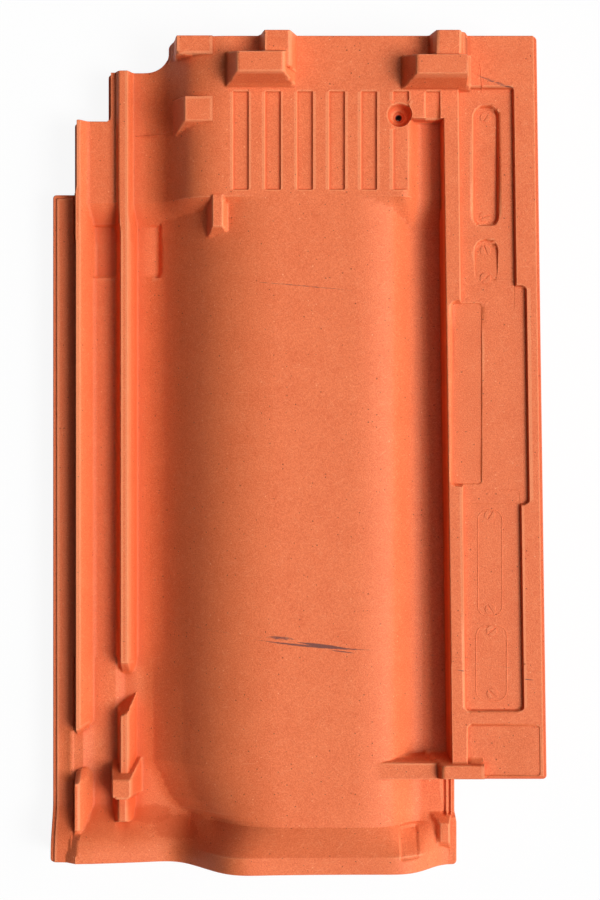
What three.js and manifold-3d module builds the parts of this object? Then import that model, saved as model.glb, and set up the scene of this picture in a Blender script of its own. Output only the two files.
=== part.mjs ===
// Interlocking clay roof tile, lying on its weather face with the underside up.
// Millimetres. +X runs to the water-lock side, +Y to the head edge, +Z out of the underside.
// X and Y are measured from the middle of the tile, Z from the crown of the roll.
import * as THREE from 'three';
import { mergeVertices } from 'three/addons/utils/BufferGeometryUtils.js';
import Module from 'manifold-3d';

const wasm = await Module();
wasm.setup();

// ---- driving dimensions ------------------------------------------------------------------
const LENGTH = 466;
const WIDTH = 280;                // over both locks, at the front end of the water-lock strip
const WALL = 12;                  // thickness of the fired body
const SKEW = 0.0137;              // the water-lock side widens this much per mm towards the front
const LEDGE = { width: 1.7, drop: 1 };  // set-back along the side edges

// levels above the roll crown
const PLANE = 48.5;               // underside of the pan, the head and the water-lock strip
const HOLLOW = WALL + 2;          // underside of the roll
const CHANNEL = WALL + 4;         // floor of the cover lock
const LIP = CHANNEL + 1;          // edge of the cover lock
const RIB_TOP = CHANNEL + 11.5;
const VALLEY = PLANE - 18.5;      // between pan and water-lock strip
const HEAD_RISE = 6.3;            // how far the head zone stands above channel and roll hollow
const NIB_TOP = PLANE + 17.5;
const SPINE_TOP = PLANE + 13.5;
const NOSE_TOP = PLANE + 8.5;
const NOSE_SIDE = CHANNEL + 14.6;

// stations along the length
const FRONT = -LENGTH / 2;
const HEAD = LENGTH / 2;
const fromFront = (d) => FRONT + d;
const fromHead = (d) => HEAD - d;
const HEAD_ZONE = fromHead(89.5); // where the head zone starts to slope down
const HEAD_RUN = 20;
const HEAD_DROP = 8.8;
const SET_BACK = { start: fromHead(107), run: 20 };  // of the weather face under the next course
const NOSE = { inner: 5.4, bow: 4.1, run: 18, drop: 12 };
const STRIP_FRONT = fromFront(51.5);  // front end of the water-lock strip
const VALLEY_HEAD = fromHead(46);     // head end of the valley

// stations across the width
const COVER_EDGE = -WIDTH / 2;
const LOCK_EDGE = WIDTH / 2;
const STRIP_WIDTH = 52.6;
const fromCover = (d) => COVER_EDGE + d;
const fromLock = (d) => LOCK_EDGE - d;
const CORNER = 2.2;               // rounding of the strip's front corner
const lockEdge = (y) => LOCK_EDGE - SKEW * (y - STRIP_FRONT - CORNER);
const valleyWall = (y) => lockEdge(y) - STRIP_WIDTH;
const LIP_INNER = fromCover(12.6);
const HOLLOW_LEFT = fromCover(42);
const FOOT = fromCover(54);       // where the pan's flank leaves the roll hollow
const FOOT_SHIFT = 12;            // the flank runs out this far before the front nose
const JOIN = [fromCover(80), PLANE - 17.5];  // on the flank, where it bends back
const CREST = fromCover(142.4);   // where the flank has reached the pan
const PAN_RIGHT = fromLock(85);
const VALLEY_FALL = 18;           // width of the slope from the pan down to the valley
const VALLEY_LEFT = PAN_RIGHT + VALLEY_FALL;
const NARROW_END = fromLock(47.5);
const CURVE_STEPS = 11;

// ---- small kit ---------------------------------------------------------------------------
function solid(geometry) {
  geometry.deleteAttribute('normal');
  geometry.deleteAttribute('uv');
  const merged = mergeVertices(geometry, 1e-4);
  const mesh = new wasm.Mesh({
    numProp: 3,
    vertProperties: new Float32Array(merged.attributes.position.array),
    triVerts: new Uint32Array(merged.index.array),
  });
  return new wasm.Manifold(mesh);
}

const join = (parts) => parts.reduce((sum, item) => sum.add(item));

// The caps are triangulated slightly bowed, so that no point of a straight run is dropped.
const BOW = 1e-5;

function cap(loop, across) {
  const contour = loop.map(across).map(([u, v]) => new THREE.Vector2(
    u + BOW * v * v, v + BOW * u * u));
  const triangles = THREE.ShapeUtils.triangulateShape(contour, []);
  if (!THREE.ShapeUtils.isClockWise(contour)) return triangles;
  return triangles.map(([i, j, k]) => [i, k, j]);
}

// A skin over rows of loops with equal counts; flat caps close both ends.
function loft(rows, across = (p) => [p[0], p[2]]) {
  const count = rows[0].length;
  const last = (rows.length - 1) * count;
  const faces = [];
  for (let r = 0; r < last; r += count) {
    for (let i = 0; i < count; i += 1) {
      const a = r + i;
      const b = r + ((i + 1) % count);
      faces.push([a, b, b + count], [a, b + count, a + count]);
    }
  }
  for (const [i, j, k] of cap(rows[0], across)) faces.push([i, k, j]);
  for (const corners of cap(rows.at(-1), across)) faces.push(corners.map((n) => last + n));
  const geometry = new THREE.BufferGeometry();
  geometry.setAttribute('position', new THREE.Float32BufferAttribute(rows.flat(2), 3));
  geometry.setIndex(faces.flat());
  const body = solid(geometry);
  if (body.volume() > 0) return body;
  geometry.setIndex(faces.flatMap(([i, j, k]) => [i, k, j]));
  return solid(geometry);
}

// A profile in X and Z set at one station of the length.
const at = (y, profile) => profile.map(([x, z]) => [x, y, z]);

// Points along a profile: a straight run gives one point, a curved run CURVE_STEPS points.
// A curved run is written as its two control points and its end.
function trace(start, ...runs) {
  const path = new THREE.Path();
  path.moveTo(...start);
  for (const run of runs) {
    if (run.length === 2) path.lineTo(...run);
    else path.bezierCurveTo(...run);
  }
  const points = [start];
  for (const curve of path.curves) {
    const steps = curve.isLineCurve ? 1 : CURVE_STEPS;
    for (const p of curve.getPoints(steps).slice(1)) points.push([p.x, p.y]);
  }
  return points;
}

const rise = (profile, dz) => profile.map(([x, z]) => [x, z + dz]);

// Level of a profile at x, between its points.
function levelAt(profile, x) {
  const n = profile.findIndex((p) => p[0] >= x);
  if (n <= 0) return profile[n === 0 ? 0 : profile.length - 1][1];
  const [[x0, z0], [x1, z1]] = profile.slice(n - 1, n + 1);
  return THREE.MathUtils.mapLinear(x, x0, x1, z0, z1);
}

// A slab between an upper and a lower profile, both from left to right.
const section = (upper, lower) => [...upper, ...lower.slice().reverse()];

// Rectangles [x0, x1, y0, y1] are written from the two nearest edges of the tile.
const coverHead = ([x0, x1, y0, y1]) => [fromCover(x0), fromCover(x1), fromHead(y0), fromHead(y1)];
const coverFront = ([x0, x1, y0, y1]) => [
  fromCover(x0), fromCover(x1), fromFront(y0), fromFront(y1)];
const lockHead = ([x0, x1, y0, y1]) => [fromLock(x0), fromLock(x1), fromHead(y0), fromHead(y1)];
const lockFront = ([x0, x1, y0, y1]) => [fromLock(x0), fromLock(x1), fromFront(y0), fromFront(y1)];
const placed = (rectangle) => rectangle;

// A block with a bottom and a top rectangle, so that each side has its own draft.
function tapered(place, bottom, z0, top, z1) {
  const loop = ([x0, x1, y0, y1], z) => [[x0, y0, z], [x1, y0, z], [x1, y1, z], [x0, y1, z]];
  return loft([loop(place(bottom), z0), loop(place(top), z1)], (p) => [p[0], p[1]]);
}

function prism(shape, z0, z1, segments = 6) {
  const options = { depth: z1 - z0, bevelEnabled: false, curveSegments: segments };
  const geometry = new THREE.ExtrudeGeometry(shape, options);
  geometry.translate(0, 0, z0);
  return solid(geometry);
}

// A pocket with round corners; its sides may follow the skew of the water-lock strip.
function pocket([x0, x1, y0, y1], radius, z0, z1, skewLeft = 0, skewRight = skewLeft) {
  const middle = (y0 + y1) / 2;
  const left = (y) => x0 - skewLeft * (y - middle);
  const right = (y) => x1 - skewRight * (y - middle);
  const shape = new THREE.Shape();
  shape.moveTo(left(y0) + radius, y0);
  shape.lineTo(right(y0) - radius, y0);
  shape.quadraticCurveTo(right(y0), y0, right(y0), y0 + radius);
  shape.lineTo(right(y1), y1 - radius);
  shape.quadraticCurveTo(right(y1), y1, right(y1) - radius, y1);
  shape.lineTo(left(y1) + radius, y1);
  shape.quadraticCurveTo(left(y1), y1, left(y1), y1 - radius);
  shape.lineTo(left(y0), y0 + radius);
  shape.quadraticCurveTo(left(y0), y0, left(y0) + radius, y0);
  return prism(shape, z0, z1, 3);
}

// ---- profiles of the body, from the cover edge towards the water lock ------------------------
const OVER = 2;                   // bodies run this far past the outline that trims them

const undersideProfile = (foot, end) => trace(
  [COVER_EDGE - OVER, LIP],
  [LIP_INNER - 0.2, LIP],
  [LIP_INNER, CHANNEL],
  [HOLLOW_LEFT - 6, CHANNEL],
  [HOLLOW_LEFT, HOLLOW],
  [foot, HOLLOW],
  [foot + 0.25 * (JOIN[0] - foot), HOLLOW, JOIN[0] - 7, JOIN[1] - 5.4, ...JOIN],
  [JOIN[0] + 13, JOIN[1] + 9.3, CREST - 24, PLANE, CREST, PLANE],
  [PAN_RIGHT - 15, PLANE - 0.2],
  [PAN_RIGHT, PLANE - 0.8, VALLEY_LEFT - 10, VALLEY + 1, VALLEY_LEFT, VALLEY],
  [end, VALLEY],
);

const weatherProfile = (end) => trace(
  [COVER_EDGE - OVER, LIP - WALL],
  [COVER_EDGE + 10, 1.5, COVER_EDGE + 18, 0, COVER_EDGE + 32, 0],
  [FOOT - 4, 0],
  [FOOT + 4, 0, JOIN[0] - 10, JOIN[1] - WALL - 9, JOIN[0], JOIN[1] - WALL - 1],
  [JOIN[0] + 14, JOIN[1] - WALL + 10, CREST - 28.4, PLANE - WALL, CREST, PLANE - WALL],
  [PAN_RIGHT - 13, PLANE - WALL - 0.5],
  [PAN_RIGHT + 2, PLANE - WALL - 1.5, VALLEY_LEFT - 9, VALLEY - WALL, VALLEY_LEFT + 3, VALLEY - WALL],
  [end, VALLEY - WALL],
);

// Head zone: channel and roll hollow stand higher and the flank is fuller.
const headProfile = trace(
  [LIP_INNER - 1.6, CHANNEL + HEAD_RISE - 0.3],
  [HOLLOW_LEFT - 6, CHANNEL + HEAD_RISE - 0.3],
  [HOLLOW_LEFT, HOLLOW + HEAD_RISE],
  [FOOT, HOLLOW + HEAD_RISE],
  [FOOT + 7, HOLLOW + HEAD_RISE, JOIN[0] - 7, JOIN[1] - 1.7, JOIN[0], JOIN[1] + 4],
  [JOIN[0] + 11, JOIN[1] + 12.6, CREST - 26.4, PLANE, CREST, PLANE + 0.02],
  [PAN_RIGHT - 13, PLANE + 0.02],
  [PAN_RIGHT + 4.5, PLANE + 0.02],
  [PAN_RIGHT + 12, PLANE - 1, VALLEY_LEFT - 5, VALLEY + 2, VALLEY_LEFT + 2, VALLEY - 0.4],
);

// Front nose: a bead along the whole front edge.
const noseProfile = trace(
  [COVER_EDGE - OVER, NOSE_SIDE - 6.6],
  [COVER_EDGE + 8.5, NOSE_SIDE - 6.6],
  [LIP_INNER, NOSE_SIDE],
  [HOLLOW_LEFT - 10, NOSE_SIDE - 1],
  [HOLLOW_LEFT + 2, NOSE_SIDE - 3.6, FOOT + 2, HOLLOW + 9.8, FOOT + 12, HOLLOW + 9.8],
  [FOOT + 22, HOLLOW + 9.8, JOIN[0] + 8, NOSE_TOP, JOIN[0] + 24, NOSE_TOP],
  [CREST, NOSE_TOP],
  [PAN_RIGHT - 13, NOSE_TOP],
  [PAN_RIGHT + 5, NOSE_TOP],
  [PAN_RIGHT + 15, NOSE_TOP, VALLEY_LEFT + 1, VALLEY + 0.6, VALLEY_LEFT + 11, VALLEY + 0.6],
  [NARROW_END, VALLEY - 0.4],
);

// ---- outline ---------------------------------------------------------------------------------
// Seen from above, clockwise from the front left corner. Corners are [x, y, radius]. The inset
// draws the ledge inside the side edges; front and head edge have none.
const END_STEPS = { cover: fromHead(84), channel: fromHead(42.7), rib: fromHead(14.7) };

function outline(i) {
  const top = lockEdge(HEAD) - i;
  const corners = [
    [COVER_EDGE + i, FRONT, 2],
    [COVER_EDGE + i, END_STEPS.cover - i, 2],
    [LIP_INNER + i, END_STEPS.cover - i, 0],
    [LIP_INNER + i, END_STEPS.channel - i, 2],
    [fromCover(32) + i, END_STEPS.channel - i, 0],
    [fromCover(32) + i, END_STEPS.rib - i, 2],
    [fromCover(54), END_STEPS.rib - i, 0],
    [fromCover(67.2) + i, fromHead(13) - i, 0],
    [fromCover(67.6) + i, HEAD, 3],
    [top - 2.3, HEAD, 0],
    [top, fromHead(3.4), 0],
    [lockEdge(STRIP_FRONT) - i, STRIP_FRONT + i, CORNER],
    [fromLock(49.8) - i, STRIP_FRONT + i, 0],
    [fromLock(49.8) - i, fromFront(30), 0],
    [fromLock(48.8) - i, fromFront(24), 0],
    [fromLock(48.8) - i, FRONT, 2.4],
  ];
  const shape = new THREE.Shape();
  corners.forEach(([x, y, radius], n) => {
    const before = corners.at(n - 1);
    const after = corners[(n + 1) % corners.length];
    const toward = ([px, py]) => {
      const way = radius / Math.hypot(px - x, py - y);
      return [x + way * (px - x), y + way * (py - y)];
    };
    const [start, end] = [toward(before), toward(after)];
    if (n === 0) shape.moveTo(...start);
    else shape.lineTo(...start);
    if (radius > 0) shape.quadraticCurveTo(x, y, ...end);
  });
  shape.closePath();
  return shape;
}

// ---- body ------------------------------------------------------------------------------------
// The flank runs out to the right before the front nose, and the pan widens in front of the
// strip. In the head zone the weather face is set back for the course that lies over it.
const FOOT_STATIONS = [
  [FRONT - 1, 1], [STRIP_FRONT - 22.5, 1], [STRIP_FRONT - 14.5, 0.67], [STRIP_FRONT - 4.5, 0.25],
  [STRIP_FRONT - 0.5, 0.13], [STRIP_FRONT, 0.12], [STRIP_FRONT + 5.5, 0], [SET_BACK.start, 0],
  [SET_BACK.start + SET_BACK.run, 0], [HEAD + 1, 0],
];

function setBackLevel(x, y) {
  const share = THREE.MathUtils.clamp((y - SET_BACK.start) / SET_BACK.run, 0, 1);
  return share * (HEAD_RISE + 0.05 * (x - fromCover(30)));
}

function panBody(lower) {
  return loft(FOOT_STATIONS.map(([y, shift]) => {
    const end = y < STRIP_FRONT ? NARROW_END : valleyWall(y) + 3;
    const upper = rise(undersideProfile(FOOT + shift * FOOT_SHIFT, end), -lower);
    const weather = weatherProfile(end).map(([x, z]) => [x, Math.max(z, setBackLevel(x, y))]);
    return at(y, section(upper, weather));
  }));
}

// Middle of the wall, where added bodies end inside the fired clay.
const plainUnderside = undersideProfile(FOOT, NARROW_END);
const plainWeather = weatherProfile(NARROW_END);
const midWall = (x) => (levelAt(plainUnderside, x) + levelAt(plainWeather, x)) / 2;

function headBody(lower) {
  const full = rise(headProfile, -lower);
  const floor = headProfile.map(([x]) => [x, Math.max(midWall(x), HEAD_RISE + 2)]);
  const slant = full.map(([x, z]) => [x, Math.max(z - HEAD_DROP, midWall(x) + 2.5)]);
  return loft([
    at(HEAD_ZONE - HEAD_RUN, section(slant, floor)),
    at(HEAD_ZONE, section(full, floor)),
    at(HEAD + 1, section(full, floor)),
  ]);
}

// The bead's back edge bows towards the head where the bead is high.
function noseBody(lower) {
  const floor = noseProfile.map(([x]) => [x, midWall(x)]);
  const full = rise(noseProfile, -lower);
  const back = full.map(([x, z]) => [x, Math.max(z - NOSE.drop, midWall(x) + 1)]);
  const inner = (z) => FRONT + NOSE.inner + NOSE.bow * ((z - NOSE_SIDE) / (NOSE_TOP - NOSE_SIDE));
  const bent = (run, upper) => section(
    upper.map(([x, z], n) => [x, inner(noseProfile[n][1]) + run, z]),
    floor.map(([x, z]) => [x, FRONT + NOSE.inner + run, z]));
  return loft([at(FRONT - 1, section(full, floor)), bent(0, full), bent(NOSE.run, back)]);
}

// Water-lock strip: flat underside, channels and upstanding ribs on the weather side.
const LOCK_FLOOR = PLANE - 11;    // floor of the channels
const LOCK_RIBS = { edge: PLANE - 21.5, inner: PLANE - 19.5 };

function stripBody(lower) {
  const row = (y) => {
    const w = valleyWall(y);
    const e = lockEdge(y);
    return at(y, [
      [w - 1.9, VALLEY - 4], [w, PLANE - lower], [e + OVER, PLANE - lower],
      [e + OVER, LOCK_RIBS.edge], [e - 3.5, LOCK_RIBS.edge], [e - 6, LOCK_FLOOR],
      [e - 27, LOCK_FLOOR], [e - 29, LOCK_RIBS.inner], [e - 36, LOCK_RIBS.inner],
      [e - 38, LOCK_FLOOR], [w + 9, LOCK_FLOOR], [w + 4, VALLEY - WALL + 0.5],
    ]);
  };
  return loft([row(STRIP_FRONT - 1), row(HEAD + 1)]);
}

// A flat top that runs across the valley; each end has a station at its top and one at its foot.
function bridge(x0, x1, level, [y0, foot0], [y1, foot1]) {
  const steps = 8;
  const under = Array.from({ length: steps + 1 }, (_, n) => {
    const x = THREE.MathUtils.lerp(x0, x1, n / steps);
    return [x, midWall(x)];
  });
  const row = (y, foot) => [
    [x0, y, level], [x1, y, level], ...at(foot, under).reverse(),
  ];
  return loft([row(y0, foot0), row(y1, foot1)]);
}

// Closes the valley towards the head edge.
const valleyEnd = (lower) => bridge(
  PAN_RIGHT + 2, VALLEY_LEFT + 10, PLANE - lower,
  [VALLEY_HEAD, VALLEY_HEAD - 1.8], [HEAD + 1, HEAD + 1]);

// The outer layer is lowered, so a ledge is left along the side edges.
const layers = [[0, LEDGE.drop], [LEDGE.width, 0]].map(([inset, lower]) => {
  const parts = [panBody, headBody, noseBody, stripBody, valleyEnd].map((make) => make(lower));
  return join(parts).intersect(prism(outline(inset), -OVER, NIB_TOP));
});

// ---- cover lock: two ribs that hang into the channels of the next tile -----------------------
const ROOT = HOLLOW - 4;          // level inside the body at which added features start

// One section of a rib: foot and top of the left side, top and foot of the right side.
const ribRow = (y, stations, top) => {
  const [x0, x1, x2, x3] = stations.map(fromCover);
  return at(y, [[x0, ROOT], [x3, ROOT], [x2, top], [x1, top]]);
};

const OUTER = [13.4, 14.6, 17.1, 26.2];
const OUTER_HEAD = [13.4, 14.6, 17.1, 28.6];
const OUTER_FRONT = [12.7, 13.6, 16.8, 26.2];
const INNER = [33.1, 41, 44.1, 49.5];
const INNER_HEAD = [22.3, 38.8, 44.1, 50.3];
const INNER_FRONT = [32.5, 38.8, 43.8, 48.5];
const RIB_FLARE = 17.5;           // the ribs widen over this length before the head zone

const outerRib = loft([
  ribRow(fromFront(71), OUTER, LIP - 1), ribRow(fromFront(75.5), OUTER, RIB_TOP),
  ribRow(HEAD_ZONE - RIB_FLARE, OUTER, RIB_TOP), ribRow(HEAD_ZONE, OUTER_HEAD, RIB_TOP),
  ribRow(END_STEPS.channel, OUTER_HEAD, RIB_TOP),
]);
const outerSaddle = tapered(
  coverFront, [8.5, 24, 48, 75], ROOT, [9.4, 18.5, 49, 72], CHANNEL + 4.5);
const outerFrontRib = loft([
  ribRow(fromFront(4), OUTER_FRONT, RIB_TOP + 0.5),
  ribRow(fromFront(44.8), OUTER_FRONT, RIB_TOP + 0.5),
  ribRow(fromFront(51), OUTER_FRONT, RIB_TOP - 7.5),
]);
const innerRib = loft([
  ribRow(fromFront(106.6), INNER, HOLLOW), ribRow(fromFront(113.7), INNER, RIB_TOP),
  ribRow(HEAD_ZONE - RIB_FLARE, INNER, RIB_TOP), ribRow(HEAD_ZONE, INNER_HEAD, RIB_TOP),
  ribRow(END_STEPS.rib, INNER_HEAD, RIB_TOP),
]);
// The second length of the inner rib ends in a facet that runs across it.
const innerStart = [
  [33, 88.5, ROOT], [49.5, 98.2, ROOT], [47, 96, HOLLOW - 1], [36, 89.5, HOLLOW + 1],
].map(([x, y, z]) => [fromCover(x), fromFront(y), z]);
const innerMiddleRib = loft([
  ribRow(fromFront(43), INNER, RIB_TOP), ribRow(fromFront(84.4), INNER, RIB_TOP), innerStart,
]);
const innerFrontRib = loft([
  ribRow(fromFront(23), INNER_FRONT, RIB_TOP - 0.5),
  ribRow(fromFront(43), INNER_FRONT, RIB_TOP - 0.5),
]);
const boss = tapered(
  coverFront, [35.7, 51.5, 35, 59], ROOT, [36.4, 45.9, 36.9, 48.2], RIB_TOP + 5.5);
const coverLock = [
  outerRib, outerSaddle, outerFrontRib, innerRib, innerMiddleRib, innerFrontRib, boss,
];

// ---- head: nibs that hook over the batten, pads and lugs ---------------------------------------
const SEAT = PLANE - 5.5;         // inside the body, below the flank beside the nibs
const nibs = [
  tapered(coverHead, [99, 142.3, 28.2, 8.5], SEAT, [107.8, 133.6, 23.7, 12.6], NIB_TOP),
  tapered(coverHead, [118.9, 142.2, 21, 0], SEAT, [122.8, 136.9, 21, 0], SPINE_TOP),
  tapered(coverHead, [101, 140.5, 34.6, 25], SEAT, [104, 137.6, 27.4, 25], PLANE + 3),
  tapered(lockHead, [83.3, 42.7, 30.2, 10.6], SEAT, [73.8, 45.5, 25.1, 14.3], NIB_TOP),
  tapered(lockHead, [66.9, 44.2, 22, 0], SEAT, [62.7, 49.5, 22, 0], SPINE_TOP),
  tapered(lockHead, [64.5, 44.2, 22, 0], SEAT, [63, 45, 22, 0], SPINE_TOP - 6),
  tapered(lockHead, [81.5, 44, 36, 27], SEAT, [78, 45.6, 29.3, 27], PLANE + 3),
];
const pads = [
  tapered(coverHead, [70.2, 94, 11, 0], PLANE - 20.5, [73.6, 94.5, 10.3, 0], PLANE + 0.9),
  tapered(coverHead, [70.5, 94, 51.5, 32.6], PLANE - 20.5, [78.3, 96, 47.1, 33.6], PLANE + 0.4),
  tapered(coverHead, [88.5, 107, 115, 88], PLANE - 14.5, [93.7, 99.2, 106.4, 88], PLANE + 0.6),
];

// ---- front end of the valley and of the water-lock strip --------------------------------------
const frontBridge = bridge(
  PAN_RIGHT - 5, fromLock(54.6), PLANE - 2,
  [STRIP_FRONT - 0.2, STRIP_FRONT - 0.9], [STRIP_FRONT + 8.8, STRIP_FRONT + 12.9]);
const valleyLug = tapered(
  lockFront, [65, 51.4, 7.5, 31.5], VALLEY - 3, [58.4, 53.6, 13.7, 23.8], VALLEY + 7);
const crossRib = [
  tapered(lockFront, [62.9, 34.5, 51.6, 62], PLANE - 6.5, [58.7, 35, 52.3, 59.7], PLANE + 4.5),
  tapered(lockFront, [43.7, 35, 58.5, 66], PLANE - 4.5, [43.7, 35, 58.5, 60.4], PLANE + 1.7),
];

// ---- weather side of the head: two ribs across the pan, against driven rain --------------------
const headLockRibs = [40, 20].map((d) => tapered(
  placed, [fromCover(96), fromLock(90), fromHead(d + 2), fromHead(d - 2)], PLANE - WALL - 6,
  [fromCover(96), fromLock(90), fromHead(d + 4.5), fromHead(d - 4.5)], PLANE - WALL + 3));

// ---- recesses in the underside -----------------------------------------------------------------
const FLUTE = { pitch: 17.86, count: 6, width: 8.9, depth: 1.4, draft: 0.45 };
const FLUTE_FIRST = fromCover(109);
const FLUTE_ENDS = [HEAD_ZONE + 4, fromHead(31.4)];
const flutes = Array.from({ length: FLUTE.count }, (_, n) => {
  const middle = FLUTE_FIRST + n * FLUTE.pitch;
  return [middle - FLUTE.width / 2, middle + FLUTE.width / 2, ...FLUTE_ENDS];
});
flutes.push([VALLEY_LEFT - 0.4, VALLEY_LEFT + 7.1, VALLEY_HEAD - 6, FLUTE_ENDS[1]]);
const fluteCuts = flutes.map(([x0, x1, y0, y1]) => {
  const grown = (d) => [x0 - d, x1 + d, y0 - d, y1 + d];
  return tapered(
    placed, grown(-FLUTE.draft), PLANE - FLUTE.depth, grown(FLUTE.draft), PLANE + 1);
});

// The panel has three lengths of different width; its sides follow the skew of the strip.
const PANEL = { depth: 2, front: fromFront(90), head: fromHead(29.5), skewLeft: 0.0111 };
const PANEL_FLOOR = PLANE - PANEL.depth;
const panelAt = (share) => THREE.MathUtils.lerp(PANEL.front, PANEL.head, share);
const TOP = PLANE + 3;            // cuts end this far above the plane
const panelCuts = [
  [45.7, 14.1, panelAt(0), panelAt(0.355), 2.5],
  [46.8, 11.1, panelAt(0.332), panelAt(0.682), 3],
  [48.1, 18.4, panelAt(0.644), panelAt(1), 2.5],
].map(([left, right, y0, y1, radius]) => pocket(
  [fromLock(left), fromLock(right), y0, y1], radius, PANEL_FLOOR, TOP, PANEL.skewLeft, SKEW));
const stripField = pocket(
  lockFront([43.8, 4, 53.7, 81.3]), 1.5, PLANE - 1.5, TOP, 0, SKEW);

// Recesses of the die inserts, and the marks of the screws near the ends of each.
const INSERTS = [
  { place: lockHead, box: [40, 27.1, 104.7, 37.4], radius: 6.4, depth: 2 },
  { place: lockHead, box: [40.5, 27.1, 138, 113.4], radius: 5, depth: 1.5 },
  { place: lockFront, box: [38.3, 24.7, 142.4, 201.3], radius: 2, depth: 0.6 },
  { place: lockFront, box: [38.8, 22.7, 95.6, 137.4], radius: 4, depth: 0.6 },
];
const insertCuts = INSERTS.map(({ place, box, radius, depth }) => pocket(
  place(box), radius, PANEL_FLOOR - depth, TOP));
const wideRecess = pocket(
  [fromLock(52.3), fromLock(36.2), panelAt(0.364), panelAt(0.655)], 4, PANEL_FLOOR - 0.8, TOP);

// A screw mark is a raised disc with a slot across it.
const SCREW = { radius: 3, height: 0.9, slot: 1.1, inset: 5 };
const screwMarks = INSERTS.flatMap(({ place, box, depth }, n) => {
  const [x0, x1, y0, y1] = place(box);
  return [y0 + SCREW.inset, y1 - SCREW.inset].map((y, end) => {
    const disc = new THREE.CylinderGeometry(SCREW.radius, SCREW.radius, SCREW.height + 1, 16);
    const slot = new THREE.BoxGeometry(SCREW.slot, 2, 2 * SCREW.radius + 1);
    disc.translate(0, (SCREW.height - 1) / 2, 0);
    slot.translate(0, SCREW.height, 0);
    const turn = new THREE.Matrix4().makeRotationY(0.6 + 0.9 * (2 * n + end));
    const stand = new THREE.Matrix4().makeRotationX(Math.PI / 2);
    stand.setPosition((x0 + x1) / 2, y, PANEL_FLOOR - depth).multiply(turn);
    return solid(disc.applyMatrix4(stand)).subtract(solid(slot.applyMatrix4(stand)));
  });
});

// Nail hole: a stepped cone that narrows to the hole through the tile.
const NAIL = { x: fromLock(82.1), y: fromHead(44), radius: 1.8 };
const nailProfile = [
  [0, VALLEY - 10], [NAIL.radius, VALLEY - 10], [NAIL.radius, PLANE - 5.1], [3.1, PLANE - 5.1],
  [3.5, PLANE - 3.5], [4.8, PLANE - 3.1], [6.8, PLANE + 0.3], [6.8, TOP], [0, TOP],
].map(([r, z]) => new THREE.Vector2(r, z));
const nailLathe = new THREE.LatheGeometry(nailProfile, 24);
nailLathe.rotateX(Math.PI / 2);
nailLathe.translate(NAIL.x, NAIL.y, 0);
const nailHole = solid(nailLathe);

// Grooves in front of the strip and on the flank, and a cut in the bead over the valley.
const groove = (place, [x0, x1, y0, y1], floor, top) => tapered(
  place, [x0 - 0.3, x1 + 0.3, y0, y1], floor, [x0 + 0.3, x1 - 0.3, y0, y1], top);
const smallCuts = [
  groove(lockFront, [56.1, 55.1, 29, 51], VALLEY - 1.5, VALLEY + 2),
  groove(lockFront, [53.3, 52.3, 29, 51], VALLEY - 1.5, VALLEY + 2),
  tapered(coverHead, [61.7, 62.5, 131.5, 102], HOLLOW + 1.2, [61.1, 63.4, 131.5, 102], HOLLOW + 6),
  loft([[6.5, 0.8], [23, 11.8]].map(([y, drop]) => at(fromFront(y), [
    [PAN_RIGHT + 2.5, NOSE_TOP - drop], [PAN_RIGHT + 14, NOSE_TOP - drop],
    [PAN_RIGHT + 14, NOSE_TOP - drop + 8], [PAN_RIGHT + 2.5, NOSE_TOP - drop + 8]]))),
];

const added = join([...coverLock, ...nibs, ...pads, frontBridge, valleyLug, ...headLockRibs]);
const cut = join([
  ...fluteCuts, ...panelCuts, stripField, ...insertCuts, wideRecess, nailHole, ...smallCuts]);
const tile = join(layers)
  .add(added.intersect(prism(outline(0), -OVER, NIB_TOP + 1)))
  .subtract(cut)
  .add(join([...crossRib, ...screwMarks]));

// ---- finished part -----------------------------------------------------------------------------
const { vertProperties, triVerts } = tile.getMesh();
const geometry = new THREE.BufferGeometry();
geometry.setAttribute('position', new THREE.BufferAttribute(vertProperties, 3));
geometry.setIndex(new THREE.BufferAttribute(triVerts, 1));
geometry.computeVertexNormals();
const firedClay = new THREE.MeshStandardMaterial({ color: 0xc8623c, roughness: 0.85, metalness: 0 });
const roofTile = new THREE.Mesh(geometry, firedClay);
roofTile.name = 'roof_tile';
const part = new THREE.Group();
part.add(roofTile);

export default part;
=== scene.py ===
"""Interlocking clay roof tile, dressed for its render, lying with its underside up.

The tile's body is one closed surface. Its underside and its weather face are heights over a
plan, and both follow the outline of the tile. Sizes are in millimetres until a mesh is made.
"""

import bpy
import numpy as np
from bpy.props import FloatProperty, FloatVectorProperty, PointerProperty
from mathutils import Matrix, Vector


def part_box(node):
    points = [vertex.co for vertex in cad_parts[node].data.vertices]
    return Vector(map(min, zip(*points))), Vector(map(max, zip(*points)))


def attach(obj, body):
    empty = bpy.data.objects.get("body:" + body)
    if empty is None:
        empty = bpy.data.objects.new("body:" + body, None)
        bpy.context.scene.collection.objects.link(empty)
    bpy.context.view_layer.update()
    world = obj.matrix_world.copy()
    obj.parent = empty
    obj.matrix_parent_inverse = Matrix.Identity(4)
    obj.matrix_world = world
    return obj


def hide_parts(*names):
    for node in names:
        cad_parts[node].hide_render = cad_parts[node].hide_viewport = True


bl_info = {
    "name": "Clay Roof Tile",
    "version": (1, 0, 0),
    "blender": (4, 5, 0),
    "location": "View3D > Sidebar > Roof Tile",
    "description": "Builds the fired clay body of an interlocking roof tile around its frame",
    "category": "Add Mesh",
}

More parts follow.
